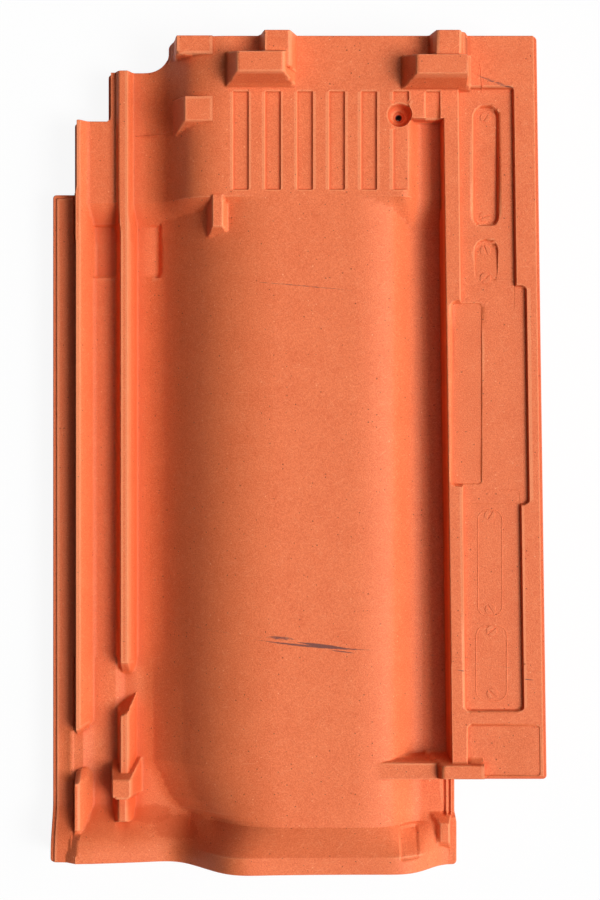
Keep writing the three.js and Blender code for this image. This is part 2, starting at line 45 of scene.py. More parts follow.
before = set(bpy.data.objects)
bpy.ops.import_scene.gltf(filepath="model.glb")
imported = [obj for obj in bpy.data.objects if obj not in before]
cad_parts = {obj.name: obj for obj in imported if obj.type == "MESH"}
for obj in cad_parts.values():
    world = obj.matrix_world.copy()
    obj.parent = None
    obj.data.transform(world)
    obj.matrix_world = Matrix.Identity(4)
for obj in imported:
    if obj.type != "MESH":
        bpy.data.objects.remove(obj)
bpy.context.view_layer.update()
NODE = "roof_tile"
SLOT = "fired_clay"
METRE = 1000.0                    # millimetres

# ---- sizes of the tile, in millimetres -------------------------------------------------------
LOW, HIGH = (np.round(np.array(corner) * METRE, 3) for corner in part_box(NODE))
COVER_EDGE, FRONT = LOW[:2]
LOCK_EDGE, HEAD = HIGH[:2]
WALL = 12.0
SKEW = 0.0137                     # the water-lock side widens this much per mm to the front

# levels above the roll's crown
PLANE = HIGH[2] - 17.5            # underside of the pan, the head and the water-lock strip
HOLLOW = WALL + 2
CHANNEL = WALL + 4
LIP = CHANNEL + 1
RIB_TOP = CHANNEL + 11.5
ROOT = HOLLOW - 4                 # level inside the body at which raised features start
VALLEY = PLANE - 18.5
HEAD_RISE = 6.3
NIB_TOP = PLANE + 17.5
SPINE_TOP = PLANE + 13.5


# places across and along the tile, as distances from its edges
def from_front(d):
    return FRONT + d


def from_head(d):
    return HEAD - d


def from_cover(d):
    return COVER_EDGE + d


def from_lock(d):
    return LOCK_EDGE - d


HEAD_ZONE = from_head(89.5)       # the head zone slopes down in front of this
SET_BACK = (from_head(107), 20)   # of the weather face under the next course
STRIP_FRONT = from_front(51.5)
VALLEY_HEAD = from_head(46)
STRIP_WIDTH = 52.6
SKEW_START = STRIP_FRONT + 2.2
LIP_INNER = from_cover(12.6)
HOLLOW_LEFT = from_cover(42)
FOOT = from_cover(54)
JOIN = (from_cover(80), PLANE - 17.5)
CREST = from_cover(142.4)
PAN_RIGHT = from_lock(85)
VALLEY_LEFT = PAN_RIGHT + 18
NARROW_EDGE = from_lock(49.8)
COVER_END, CHANNEL_END, RIB_END = from_head(84), from_head(42.7), from_head(14.7)
CHANNEL_SIDE, RIB_SIDE = from_cover(32), from_cover(67.6)

# Notches that the outline leaves out of the rectangle: inner corner, and the way each opens.
NOTCHES = (
    (LIP_INNER, COVER_END, -1, 1),
    (CHANNEL_SIDE, CHANNEL_END, -1, 1),
    (RIB_SIDE, RIB_END, -1, 1),
    (NARROW_EDGE, STRIP_FRONT, 1, -1),
)
# Round outer corners: the corner, the way into the tile, and the radius.
ROUND_CORNERS = (
    (COVER_EDGE, FRONT, 1, 1, 2),
    (NARROW_EDGE, FRONT, -1, 1, 2.4),
    (LOCK_EDGE, STRIP_FRONT, -1, 1, 2.2),
    (LOCK_EDGE, HEAD, -1, -1, 2.8),
    (RIB_SIDE, HEAD, 1, -1, 3),
    (CHANNEL_SIDE, RIB_END, 1, -1, 2),
    (LIP_INNER, CHANNEL_END, 1, -1, 2),
    (COVER_EDGE, COVER_END, 1, -1, 2),
)
NOOK = (RIB_SIDE, RIB_END, 13, 9)  # round inner corner beside the head: corner and two radii
CORNERS = (
    (COVER_EDGE, FRONT), (NARROW_EDGE, FRONT), (NARROW_EDGE, STRIP_FRONT),
    (LOCK_EDGE, STRIP_FRONT), (LOCK_EDGE, HEAD), (RIB_SIDE, HEAD), (RIB_SIDE, RIB_END),
    (CHANNEL_SIDE, RIB_END), (CHANNEL_SIDE, CHANNEL_END), (LIP_INNER, CHANNEL_END),
    (LIP_INNER, COVER_END), (COVER_EDGE, COVER_END),
)
TINY = 1e-4

FLUTE_PITCH, FLUTE_COUNT, FLUTE_WIDTH = 17.86, 6, 8.2
FLUTE_FIRST = from_cover(109.3)
FLUTE_ENDS = (HEAD_ZONE + 4, from_head(31.4))
PANEL_ENDS = (from_front(90), from_head(29.5))
PANEL_SKEW = 0.0111
NAIL = (from_lock(82.1), from_head(44))
NAIL_RADIUS = 1.6
NAIL_EXIT = 0.8                   # the bore tapers to this radius at the weather face
NAIL_RADII = (NAIL_RADIUS, 3.0, 3.4, 5.5, 7.0)
NAIL_LEVELS = (PLANE - 11.2, PLANE - 10.3, PLANE - 9.1, PLANE - 7.4, PLANE + 0.1)
NAIL_BLOCK = 8.5                  # half of the square that is set with rings around the hole


# ---- curves and blends -----------------------------------------------------------------------
def smooth(t):
    """A soft step: 3t^2 - 2t^3 of t held between 0 and 1."""
    t = np.clip(t, 0, 1)
    return t * t * (3 - 2 * t)


def fade(x, start, run):
    """The soft step along x, from the start and over the run, which may lead backwards."""
    return smooth((x - start) / run)


def blend_max(a, b, width):
    """The greater of two heights, with a fillet where they differ by less than width."""
    near = np.maximum(width - np.abs(a - b), 0) / width
    return np.maximum(a, b) + near * near * width / 4


def blend_min(a, b, width):
    """The lesser of two heights, with a rounding where they differ by less than width."""
    return -blend_max(-a, -b, width)


def trace(start, *runs, steps=40):
    """Points of a profile. A straight run is its end, and a curved run is the two control
    points and the end of a cubic curve."""
    points = [np.array([start], float)]
    t = np.linspace(0, 1, steps + 1)[1:, None]
    for run in runs:
        if len(run) == 2:
            points.append(np.array([run], float))
            continue
        first = points[-1][-1]
        a, b, end = np.array(run, float).reshape(3, 2)
        curve = first * (1 - t) ** 3 + 3 * a * t * (1 - t) ** 2 + 3 * b * t * t * (1 - t)
        points.append(curve + end * t ** 3)
    return np.vstack(points)


def level(profile, x):
    """Height of a profile at x."""
    return np.interp(x, profile[:, 0], profile[:, 1])


# ---- plan of the tile ------------------------------------------------------------------------
LEAN_FADE = (66, 16)              # where across the tile the lean sets in, and over what width
SLIP_FADE = (84, 6)
# How far the outer side stands out in front of the strip, at places along the tile. It acts
# where the slip has faded in across the tile.
SLIPS = ((FRONT, -209, -203, STRIP_FRONT), (0.26, 0.6, -0.32, -0.03))


def placed(u, v):
    """Plan position of the surface parameters. The plan of u and v has square corners. The
    water-lock side leans outwards to the front, outer corners are turned from squares into
    quarter discs, and the corner beside the head is drawn out along a quarter ellipse."""
    x = u - SKEW * fade(u, *LEAN_FADE) * (v - SKEW_START)
    x = x + np.where(v < STRIP_FRONT, np.interp(v, *SLIPS), 0) * fade(u, *SLIP_FADE)
    y = v + 0 * u
    for corner_u, corner_v, way_u, way_v, radius in ROUND_CORNERS:
        p = 1 - np.clip((u - corner_u) * way_u / radius, 0, 1)
        q = 1 - np.clip((v - corner_v) * way_v / radius, 0, 1)
        share = 1 - np.maximum(p, q) / np.maximum(np.hypot(p, q), 1e-9)
        x = x + way_u * radius * p * share
        y = y + way_v * radius * q * share
    corner_u, corner_v, wide, high = NOOK
    a, b = corner_u - u, v - corner_v
    edge_a, edge_b = np.clip(a, 0, wide), np.clip(b, 0, high)
    angle = -np.radians(135 + 45 * (edge_b / high - edge_a / wide))
    share = smooth(1 - np.hypot(a - edge_a, b - edge_b) / wide)
    x = x - (wide * (1 + np.cos(angle)) - edge_a) * share
    y = y + (high * (1 + np.sin(angle)) - edge_b) * share
    return x, y


def side_distance(u, v):
    """Distance in the plan of u and v from the side edges and their steps."""
    d = np.minimum(u - COVER_EDGE, LOCK_EDGE - u)
    for corner_u, corner_v, way_u, way_v in NOTCHES:
        d = np.minimum(d, np.maximum(way_u * (corner_u - u), way_v * (corner_v - v)))
    return d


def edge_distance(u, v):
    """Distance from the whole outline."""
    return np.minimum(side_distance(u, v), np.minimum(v - FRONT, HEAD - v))


def rounding(distance, radius):
    """How far a quarter-round edge lies below its face, at a distance from the edge."""
    inner = np.clip(radius - distance, 0, radius)
    return radius - np.sqrt(radius * radius - inner * inner)


def perimeter(u, v):
    """How far round the outline a point lies, counter-clockwise from the front left corner.
    Points that aren't on the outline give -1."""
    way = np.full(np.shape(u), -1.0)
    start = 0.0
    for (u0, v0), (u1, v1) in zip(CORNERS, CORNERS[1:] + CORNERS[:1]):
        length = abs(u1 - u0) + abs(v1 - v0)
        along = ((u - u0) * (u1 - u0) + (v - v0) * (v1 - v0)) / length
        off = np.abs((u - u0) * (v1 - v0) - (v - v0) * (u1 - u0)) / length
        on = (off < TINY) & (along > -TINY) & (along < length - TINY)
        way = np.where(on, start + along, way)
        start += length
    return way


# ---- body of the underside --------------------------------------------------------------------
FLANK_START = FOOT - 4            # where the flank begins to rise from the hollow
UNDERSIDE = trace(
    (COVER_EDGE - 2, LIP),
    (LIP_INNER - 0.2, LIP),
    (LIP_INNER, CHANNEL),
    (HOLLOW_LEFT - 6, CHANNEL),
    (HOLLOW_LEFT, HOLLOW),
    (FLANK_START, HOLLOW),
    (FLANK_START + 5, HOLLOW, FLANK_START + 10.7, HOLLOW + 2.8, FLANK_START + 15, HOLLOW + 5.9),
    (FLANK_START + 22, HOLLOW + 11.4, JOIN[0] - 1, JOIN[1] + 0.5, JOIN[0] + 6, JOIN[1] + 5.4),
    (JOIN[0] + 16, JOIN[1] + 12.2, CREST - 33.4, PLANE, CREST - 11, PLANE),
    (CREST, PLANE),
    (PAN_RIGHT - 23, PLANE),
    (PAN_RIGHT - 15, PLANE, PAN_RIGHT - 6.5, PLANE - 1.2, PAN_RIGHT - 1.4, PLANE - 4.1),
    (PAN_RIGHT + 3.5, PLANE - 7.3, VALLEY_LEFT - 9.5, VALLEY + 0.6, VALLEY_LEFT - 1, VALLEY),
    (LOCK_EDGE, VALLEY),
)
WEATHER = trace(
    (COVER_EDGE - 2, LIP - WALL),
    (COVER_EDGE + 10, 1.5, COVER_EDGE + 18, 0, COVER_EDGE + 32, 0),
    (FOOT - 4, 0),
    (FOOT + 4, 0, JOIN[0] - 10, JOIN[1] - WALL - 9, JOIN[0], JOIN[1] - WALL - 1),
    (JOIN[0] + 14, JOIN[1] - WALL + 10, CREST - 28.4, PLANE - WALL, CREST, PLANE - WALL),
    (PAN_RIGHT - 13, PLANE - WALL - 0.5),
    (PAN_RIGHT + 2, PLANE - WALL - 1.5, VALLEY_LEFT - 9, VALLEY - WALL,
     VALLEY_LEFT + 3, VALLEY - WALL),
    (LOCK_EDGE, VALLEY - WALL),
)
HEAD_PROFILE = trace(
    (LIP_INNER - 1.6, CHANNEL + HEAD_RISE - 0.3),
    (HOLLOW_LEFT - 6, CHANNEL + HEAD_RISE - 0.3),
    (HOLLOW_LEFT, HOLLOW + HEAD_RISE),
    (FLANK_START, HOLLOW + HEAD_RISE),
    (FOOT + 1.5, HOLLOW + HEAD_RISE, FOOT + 7, JOIN[1] - 8.6, JOIN[0] - 14.6, JOIN[1] - 4.6),
    (JOIN[0] - 10.4, JOIN[1] - 0.6, JOIN[0] - 6.5, JOIN[1] + 4.6, JOIN[0] - 1.6, JOIN[1] + 9.6),
    (JOIN[0] + 3.5, JOIN[1] + 14.8, JOIN[0] + 11.5, PLANE - 0.1, JOIN[0] + 22, PLANE - 0.05),
    (CREST - 4, PLANE),
    (PAN_RIGHT + 4.5, PLANE),
    (PAN_RIGHT + 12, PLANE - 1, VALLEY_LEFT - 8, VALLEY + HEAD_RISE, VALLEY_LEFT - 1,
     VALLEY + HEAD_RISE),
    (LOCK_EDGE, VALLEY + HEAD_RISE),
)
# The rim of the front nose: places across the front edge, and the rim's level there.
NOSE_RIM = (
    (COVER_EDGE, LIP_INNER - 3.4, LIP_INNER + 2.4, LIP_INNER + 12, LIP_INNER + 33, FOOT + 12,
     FOOT + 19, FOOT + 25.5, FOOT + 31.5, FOOT + 36.5, FOOT + 41.5, FOOT + 46, FOOT + 50.5,
     FOOT + 55, FOOT + 63, CREST - 22, CREST - 10, CREST + 8, CREST + 28, PAN_RIGHT + 2,
     PAN_RIGHT + 6.5, PAN_RIGHT + 11, PAN_RIGHT + 16, PAN_RIGHT + 20.5, PAN_RIGHT + 26,
     PAN_RIGHT + 31, LOCK_EDGE),
    (27, 27.4, 31.6, 31, 28, 24.2, 25.4, 30.6, 37.6, 43.8, 49.4, 54, 56.6, 58, 58.4, 57.6,
     56.8, 56, 55.6, 55.6, 54.6, 52, 47.6, 41, 33.4, 31, 30))
# How far the flank's foot stands over to the right, in front of the strip.
FOOT_PLACES = (FRONT, -206, -203, -197, -186, -176)
FOOT_SHIFTS = (26, 24, 17.3, 11.5, 5.8, 0)
# Share of the nose's height at distances behind the front edge, at the side and over the pan.
NOSE_AT_SIDE = ((6.2, 12.8, 24, 30), (1, 0.85, 0.26, 0))
NOSE_AT_PAN = ((9.6, 24.6), (1, 0))
NOSE_LEVELS = (32, 54)            # rim levels at which the side's fall and the pan's fall hold
NOSE_LEAN = 0.19                  # the rim's low left end leans this much per mm behind the front
NOSE_LEFT = LIP_INNER + 16        # where that lean has faded out
LEAN_RUN = (4, 16)                # it starts this far behind the front, and stops after the run
NOWHERE = -60.0                   # a level below everything
CREASE_SLOPE = 0.7                # rise of the flank from its sharp foot
CREASE_FADE = (from_front(150), -80)


def pan_level(x, y):
    """The profile across the tile. In front of the strip the flank is squeezed to the right:
    its foot moves by the shift, and the crest stays. The foot is a sharp crease there."""
    shift = np.interp(y, FOOT_PLACES, FOOT_SHIFTS) / (CREST - FLANK_START)
    squeezed = np.maximum((x - shift * CREST) / (1 - shift), FLANK_START)
    flank = (x > FLANK_START) & (x < CREST)
    z = level(UNDERSIDE, np.where(flank, squeezed, x))
    sharp = HOLLOW + np.clip(squeezed - FLANK_START - 5, 0, JOIN[0] - FOOT) * CREASE_SLOPE
    return z + np.maximum(sharp - z, 0) * (fade(y, *CREASE_FADE) * flank)


# Length of the slope in front of the head zone, at places across the tile.
HEAD_RUNS = ((LIP_INNER, HOLLOW_LEFT - 6, HOLLOW_LEFT, FLANK_START, FOOT + 14, JOIN[0] + 6,
              JOIN[0] + 29, CREST - 18, PAN_RIGHT - 14, PAN_RIGHT, PAN_RIGHT + 10),
             (10.6, 10.6, 14.2, 13.4, 9.6, 7, 2.4, 1.6, 1.6, 7, 16))


def with_head_zone(z, x, y):
    """The surface, going over an even slope into the profile of the head zone."""
    share = np.clip(1 - (HEAD_ZONE - y) / np.interp(x, *HEAD_RUNS), 0, 1)
    rise = level(HEAD_PROFILE, x) - z
    return z + rise * share * (x > LIP_INNER + 0.4)


def softened(x, corners, wide):
    """Straight lines between corners, with each corner rounded by a mean over the width."""
    return sum(np.interp(x + wide * step, *corners) for step in (-1, -0.5, 0, 0.5, 1)) / 5


def nosed(z, x, y):
    """The surface with its front nose: between the surface and the rim's level, by a share
    that is whole on the rim and falls to nothing behind it. The fall is the side's where the
    rim is low, the pan's where it is high, and goes from one to the other between them."""
    d = y - FRONT
    lean = NOSE_LEAN * np.clip(d - LEAN_RUN[0], 0, LEAN_RUN[1]) * fade(x, NOSE_LEFT, -9)
    rim = softened(x - lean, NOSE_RIM, 5 * fade(x, NOSE_LEFT, 14))
    part = fade(rim, NOSE_LEVELS[0], NOSE_LEVELS[1] - NOSE_LEVELS[0])
    share = (1 - part) * softened(d, NOSE_AT_SIDE, 2) + part * np.interp(d, *NOSE_AT_PAN)
    return z + np.maximum(rim - z, 0) * share


WALL_SLOPE, END_SLOPE = 11.8, 60  # rise over run of the strip's long wall and of its end


def lock_edge(y):
    """The x of the leaning water-lock side."""
    return LOCK_EDGE - SKEW * (y - SKEW_START)


def strip_level(x, y):
    """The water-lock strip: a plane with a steep wall down to the valley, and an end face."""
    wall = PLANE + (x - lock_edge(y) + STRIP_WIDTH) * WALL_SLOPE
    end = PLANE + (y - STRIP_FRONT) * END_SLOPE
    return np.minimum(blend_min(wall, PLANE + 0 * x, 2), end)


def bridge(x, y, x0, x1, top, near, far):
    """A level top across the valley. Each end falls from its top to its foot, at the middle
    of the wall under the valley."""
    floor = (level(UNDERSIDE, x) + level(WEATHER, x)) / 2
    z = top + 0 * x
    for station, foot in (near, far):
        z = blend_min(z, floor + (y - foot) / (station - foot) * (top - floor), 0.8)
    return np.where((x > x0) & (x < x1), z, NOWHERE)


# ---- raised features ---------------------------------------------------------------------------
def boxes(across, along):
    """A function for boxes whose sides are given as distances from two edges of the tile."""
    return lambda x0, x1, y0, y1: (across(x0), across(x1), along(y0), along(y1))


cover_head, cover_front = boxes(from_cover, from_head), boxes(from_cover, from_front)
lock_head, lock_front = boxes(from_lock, from_head), boxes(from_lock, from_front)
STEEPEST = 0.5                    # least run of a side, so that the mesh can follow it
RIB_END_SLOPE = 8                 # rise over run at both ends of a rib


def block(x, y, foot, low, top, high, edge=1.2):
    """The least of a level top and of four sloping sides, each through one side of the foot
    rectangle at low and of the top rectangle at high. The edges are rounded."""
    z = high + 0 * x
    for place, n, way in ((x, 0, 1), (x, 1, -1), (y, 2, 1), (y, 3, -1)):
        slope = (high - low) / max(way * (top[n] - foot[n]), STEEPEST)
        side = low + way * (place - foot[n]) * slope
        z = blend_min(z, side, edge * min(np.hypot(1, slope) - 1, 2.0))
    return z


def rib(x, y, rows, edge=0.45):
    """A rib along the tile. Each row has its place along the tile, the four stations of its
    section, and its top; between the rows all of them change evenly."""
    places = [row[0] for row in rows]
    stations = [
        np.interp(y, places, [from_cover(row[1][n]) for row in rows]) for n in range(4)]
    top = np.interp(y, places, [row[2] for row in rows])
    left = ROOT + (x - stations[0]) * (top - ROOT) / (stations[1] - stations[0])
    right = ROOT + (stations[3] - x) * (top - ROOT) / (stations[3] - stations[2])
    z = blend_min(top, np.minimum(left, right), edge)
    z = blend_min(z, top + (y - places[0]) * RIB_END_SLOPE, edge)
    return blend_min(z, top + (places[-1] - y) * RIB_END_SLOPE, edge)


# Sections of the ribs: foot, top, top and foot, as distances from the cover edge.
OUTER = (13.4, 14.6, 17.1, 26.2)
OUTER_HEAD = (13.4, 14.6, 17.1, 28.6)
OUTER_FRONT = (12.7, 13.6, 16.8, 26.2)
INNER = (35.7, 40.3, 44.3, 49.2)
INNER_HEAD = (34.1, 38.7, 44.1, 50.3)
INNER_FRONT = (32.5, 38.8, 43.8, 48.5)
RIB_FLARE = 17.5                  # the ribs widen over this length in front of the head zone
BEYOND = 9                        # features that cross the outline run this far past it


def stretch(section, top, *places):
    """Rows of a rib that has one section and one top at all these places."""
    return [(place, section, top) for place in places]


OUTER_RIB = (
    (from_front(71), OUTER, LIP - 1),
    *stretch(OUTER, RIB_TOP, from_front(75.5), HEAD_ZONE - RIB_FLARE),
    *stretch(OUTER_HEAD, RIB_TOP, HEAD_ZONE, CHANNEL_END + BEYOND),
)
OUTER_FRONT_RIB = (
    (from_front(12.5), OUTER_FRONT, RIB_TOP - 4.5),
    *stretch(OUTER_FRONT, RIB_TOP + 0.5, from_front(18.8), from_front(44.8)),
    (from_front(51), OUTER_FRONT, RIB_TOP - 7.5),
)
INNER_RIB = (
    (from_front(106.6), INNER, HOLLOW),
    *stretch(INNER, RIB_TOP, from_front(113.7), HEAD_ZONE - RIB_FLARE),
    *stretch(INNER_HEAD, RIB_TOP, HEAD_ZONE, RIB_END + BEYOND),
)
INNER_MIDDLE_RIB = stretch(INNER, RIB_TOP, from_front(43), from_front(100))
INNER_FRONT_RIB = stretch(INNER_FRONT, RIB_TOP - 0.5, from_front(23), from_front(43))
RIB_SLANT = 0.55                  # how far the outer ribs' ends slant, per mm across
SLANT_START = (from_cover(15), from_front(25))
MIDDLE_FACET = (1.807, 1.062)     # slopes of the facet across the middle rib's head end
FACET_AT = (from_cover(42.5), from_front(84.4))
SADDLE = LIP + 1.2                # low bridge between the two lengths of the outer rib
BOSS_TOP = RIB_TOP + 5.5
# Blocks are the foot's box and level, then the top's box and level.
SADDLE_BLOCK = (cover_front(4, 24, 44, 77), SADDLE - 3, cover_front(10, 17.9, 46, 73.5), SADDLE)
BOSS = (cover_front(33.9, 51.7, 35, 60), ROOT, cover_front(35.9, 46.3, 36.9, 48), BOSS_TOP)
BOSS_CHAMFER, CHAMFER_SLOPE = 1.9, 4   # how far the boss's front corners are cut, and slope


def cover_lock_level(x, y):
    """Ribs and boss of the cover lock. The middle length of the inner rib ends in a plane
    that slopes along and across it, and the boss has two cut corners."""
    facet = (RIB_TOP - MIDDLE_FACET[0] * (y - FACET_AT[1])
             + MIDDLE_FACET[1] * (x - FACET_AT[0]))
    z = blend_min(rib(x, y, INNER_MIDDLE_RIB), facet, 0.6)
    slant = RIB_SLANT * (x - SLANT_START[0]) * fade(y, SLANT_START[1], 10)
    for rows in (OUTER_RIB, OUTER_FRONT_RIB):
        z = np.maximum(z, rib(x, y - slant, rows))
    for rows in (INNER_RIB, INNER_FRONT_RIB):
        z = np.maximum(z, rib(x, y, rows))
    boss = block(x, y, *BOSS)
    for corner, way in zip(BOSS[2], (1, -1)):
        cut = (x - corner) * way + y - BOSS[2][2] - BOSS_CHAMFER
        boss = np.minimum(boss, BOSS_TOP + CHAMFER_SLOPE * cut)
    return blend_max(np.maximum(z, block(x, y, *SADDLE_BLOCK, edge=0.9)), boss, 0.8)


LEDGE = (1.6, 0.9)                # widths of the ledges beside and before the ribs' head ends


def rib_ledges(x, y, floor):
    """The low ledges beside the head ends of both ribs."""
    z = NIB_TOP + 10 + 0 * x
    for corner_x, corner_y, *_ in NOTCHES[:2]:
        box = (corner_x - 30, corner_x + LEDGE[0], corner_y + LEDGE[1], HEAD + 30)
        z = np.minimum(z, pocket(x, y, box, 1.4, floor, 14.0))
    return z


SEAT = PLANE - 5.5                # level inside the body at which the nibs start
NIBS = (
    (cover_head(99, 142.3, 30, 8.5), SEAT, cover_head(107.8, 133.6, 23.9, 12.6), NIB_TOP),
    (cover_head(118.9, 142.2, 21, -9), SEAT, cover_head(122.8, 136.9, 21, -9), SPINE_TOP),
    (lock_head(83.3, 42.7, 31.8, 10.6), SEAT, lock_head(73.8, 45.5, 25.1, 14.3), NIB_TOP),
    (lock_head(66.9, 44.2, 22, -9), SEAT, lock_head(62.7, 49.5, 22, -9), SPINE_TOP),
    (lock_head(64.5, 44.2, 22, -9), SEAT, lock_head(63, 45, 22, -9), SPINE_TOP - 6),
)
PADS = (
    (cover_head(70.2, 94, 11, -9), PLANE - 20.5, cover_head(73.6, 94.5, 10.3, -9), PLANE + 0.9),
    (cover_head(70.5, 94, 54.2, 32.6), PLANE - 17,
     cover_head(78.3, 96, 47.4, 33.6), PLANE + 0.4),
    (cover_head(88.5, 107, 115, 88), PLANE - 14.5,
     cover_head(93.7, 99.2, 106.4, 88), PLANE + 0.6),
)
VALLEY_LUGS = (
    (lock_front(65.5, 51.4, 7, 31.5), VALLEY - 2,
     lock_front(58.4, 53.4, 13.7, 24.2), VALLEY + 7),
    (lock_front(56.4, 40, -9, 31), VALLEY - 3, lock_front(53, 41, -9, 26.5), VALLEY + 1.3),
)
CROSS_RIB = (
    (lock_front(62.9, 34.5, 51.6, 62), PLANE - 6.5,
     lock_front(58.7, 35, 52.3, 59.7), PLANE + 4.5),
    (lock_front(43.7, 35, 58.5, 66), PLANE - 4.5,
     lock_front(43.7, 35, 58.5, 60.4), PLANE + 1.7),
)


# ---- recesses ----------------------------------------------------------------------------------
def pocket(x, y, box, radius, floor, slope=3.0, skews=(0, 0)):
    """A floor with steep sides: the floor, and outside a rectangle with round corners the
    distance from it times the slope. Its long sides may lean, each by its skew."""
    x0, x1, y0, y1 = box
    away = y - (y0 + y1) / 2
    dx = np.maximum(x0 - skews[0] * away - x, x - x1 + skews[1] * away) + radius
    dy = np.maximum(y0 - y, y - y1) + radius
    outside = np.hypot(np.maximum(dx, 0), np.maximum(dy, 0))
    distance = outside + np.minimum(np.maximum(dx, dy), 0) - radius
    return floor + blend_max(distance * slope, 0 * distance, 0.5)


def panel_at(share):
    """The place along the tile at a share of the panels' whole length."""
    return PANEL_ENDS[0] + share * (PANEL_ENDS[1] - PANEL_ENDS[0])


PANELS = (
    ((from_lock(45.7), from_lock(14.1), panel_at(0), panel_at(0.355)), 2.5),
    ((from_lock(46.8), from_lock(11.1), panel_at(0.332), panel_at(0.682)), 3),
    ((from_lock(48.1), from_lock(18.4), panel_at(0.644), panel_at(1)), 1.2),
)
STRIP_FIELD = lock_front(43.8, 4, 53.7, 81.3)
FOOT_POCKET = cover_head(20, 60.4, 130.8, 102.5)   # square cut into the foot of the flank
PATCH = (PAN_RIGHT + 2.4, PAN_RIGHT + 14.8, from_front(7), from_front(23.5))  # dent in the nose
# Sunk die inserts: box, corner radius, depth below the panel, and the length over which the
# depth fades out to the front.
INSERTS = (
    (lock_head(40, 27.4, 106, 39.2), 6.2, 3.1, 1),
    (lock_head(39.8, 27.4, 139, 113.7), 6.1, 1.9, 26),
)
WIDE_RECESS = (from_lock(52.3), from_lock(36.2), panel_at(0.364), panel_at(0.655))


def flute_boxes():
    """The flutes of the batten seat, and the short one beside the valley."""
    half = FLUTE_WIDTH / 2
    boxes = [
        (FLUTE_FIRST + n * FLUTE_PITCH - half, FLUTE_FIRST + n * FLUTE_PITCH + half, *FLUTE_ENDS)
        for n in range(FLUTE_COUNT)]
    return boxes + [(VALLEY_LEFT - 0.4, VALLEY_LEFT + 7.1, VALLEY_HEAD - 6, FLUTE_ENDS[1])]


FIELD_RISE, FIELD_FADE = 0.9, (STRIP_FIELD[1] - 26, 24)   # the field's floor rises outwards
PATCH_DEPTH = 1.4
# How the dent's four sides fade: left, right, near and far.
PATCH_FADES = ((PATCH[0], 1.8), (PATCH[1], -2.4), (PATCH[2], 1.5), (PATCH[3], -1.2))
GROOVES = (lock_front(56.1, 55.1, 29, 51), lock_front(53.3, 52.3, 29, 51))


def carve(z, x, y, sizes):
    """Cuts the recesses: the lesser of the surface and of each pocket."""
    panel_floor = PLANE - sizes.panel_depth * METRE
    for box in flute_boxes():
        z = blend_min(z, pocket(x, y, box, 0.4, PLANE - sizes.flute_depth * METRE), 0.4)
    for box, radius in PANELS:
        z = blend_min(z, pocket(x, y, box, radius, panel_floor, 3.4, (PANEL_SKEW, SKEW)), 0.4)
    rise = FIELD_RISE * fade(x, *FIELD_FADE)
    z = blend_min(z, pocket(x, y, STRIP_FIELD, 1.5, PLANE - 1.5 + rise, 2.4, (0, SKEW)), 0.5)
    for box, radius, depth, length in INSERTS:
        sunk = depth * fade(y, box[2], length)
        z = blend_min(z, pocket(x, y, box, radius, panel_floor - sunk, 2.6), 0.5)
    z = blend_min(z, pocket(x, y, WIDE_RECESS, 2.2, panel_floor - 0.6, 2.0), 0.5)
    left, right, near, far = PATCH_FADES
    inside = fade(y, *near) * fade(y, *far)
    z = z - PATCH_DEPTH * inside * fade(x, *left) * fade(x, *right)
    for box in GROOVES:
        z = np.minimum(z, pocket(x, y, box, 0.2, VALLEY - 1.5, 4.0))
    radius = np.hypot(x - NAIL[0], y - NAIL[1])
    outside = 2 * np.maximum(radius - NAIL_RADII[-1], 0)
    return blend_min(z, np.interp(radius, NAIL_RADII, NAIL_LEVELS) + outside, 0.3)


# Bridges: left and right side, top, and the station and foot of the near and the far end.
VALLEY_END = (PAN_RIGHT + 2, LOCK_EDGE, PLANE, (VALLEY_HEAD, VALLEY_HEAD - 1.8),
              (HEAD + 20, HEAD + 30))
FRONT_BRIDGE = (PAN_RIGHT - 13, from_lock(54.6), PLANE - 1.3,
                (STRIP_FRONT - 0.2, STRIP_FRONT - 0.9), (STRIP_FRONT + 8.8, STRIP_FRONT + 12.9))
COVER_DROP = 1.4                  # the cover side's ledge is this many times as deep


def underside(u, v, sizes):
    """Height of the underside over the plan, the greatest and least of its parts in turn."""
    x, y = placed(u, v)
    z = blend_min(pan_level(x, y), pocket(x, y, FOOT_POCKET, 0.3, HOLLOW, 1.9), 0.4)
    z = nosed(with_head_zone(z, x, y), x, y)
    z = blend_max(z, strip_level(x, y), 1.0)
    z = np.maximum(z, bridge(x, y, *VALLEY_END))
    aside = side_distance(u, v)
    drop = sizes.ledge_drop * METRE
    ledge = np.where(x < LIP_INNER, COVER_DROP * (1 - fade(aside, 1.6, 1.2)),
                     (1 - fade(aside, 1.45, 0.5)) * (x > RIB_SIDE - 1))
    z = z - drop * ledge
    z = blend_max(z, bridge(x, y, *FRONT_BRIDGE), 0.6)
    z = blend_max(z, cover_lock_level(x, y), 1.8)
    z = np.minimum(z, rib_ledges(x, y, LIP - COVER_DROP * drop))
    for blocks, width in ((PADS, 0.8), (VALLEY_LUGS, 0.6)):
        for raised in blocks:
            z = blend_max(z, block(x, y, *raised, edge=0.8), width)
    z = carve(z, x, y, sizes)
    for nib in NIBS:
        z = blend_max(z, block(x, y, *nib), 1.2)
    for part in CROSS_RIB:
        z = blend_max(z, block(x, y, *part, edge=0.8), 0.5)
    return z - rounding(edge_distance(u, v), sizes.edge_round * METRE)


LOCK_FLOOR, LOCK_RIB, LOCK_SIDE = PLANE - 11, PLANE - 19.5, PLANE - 21.5
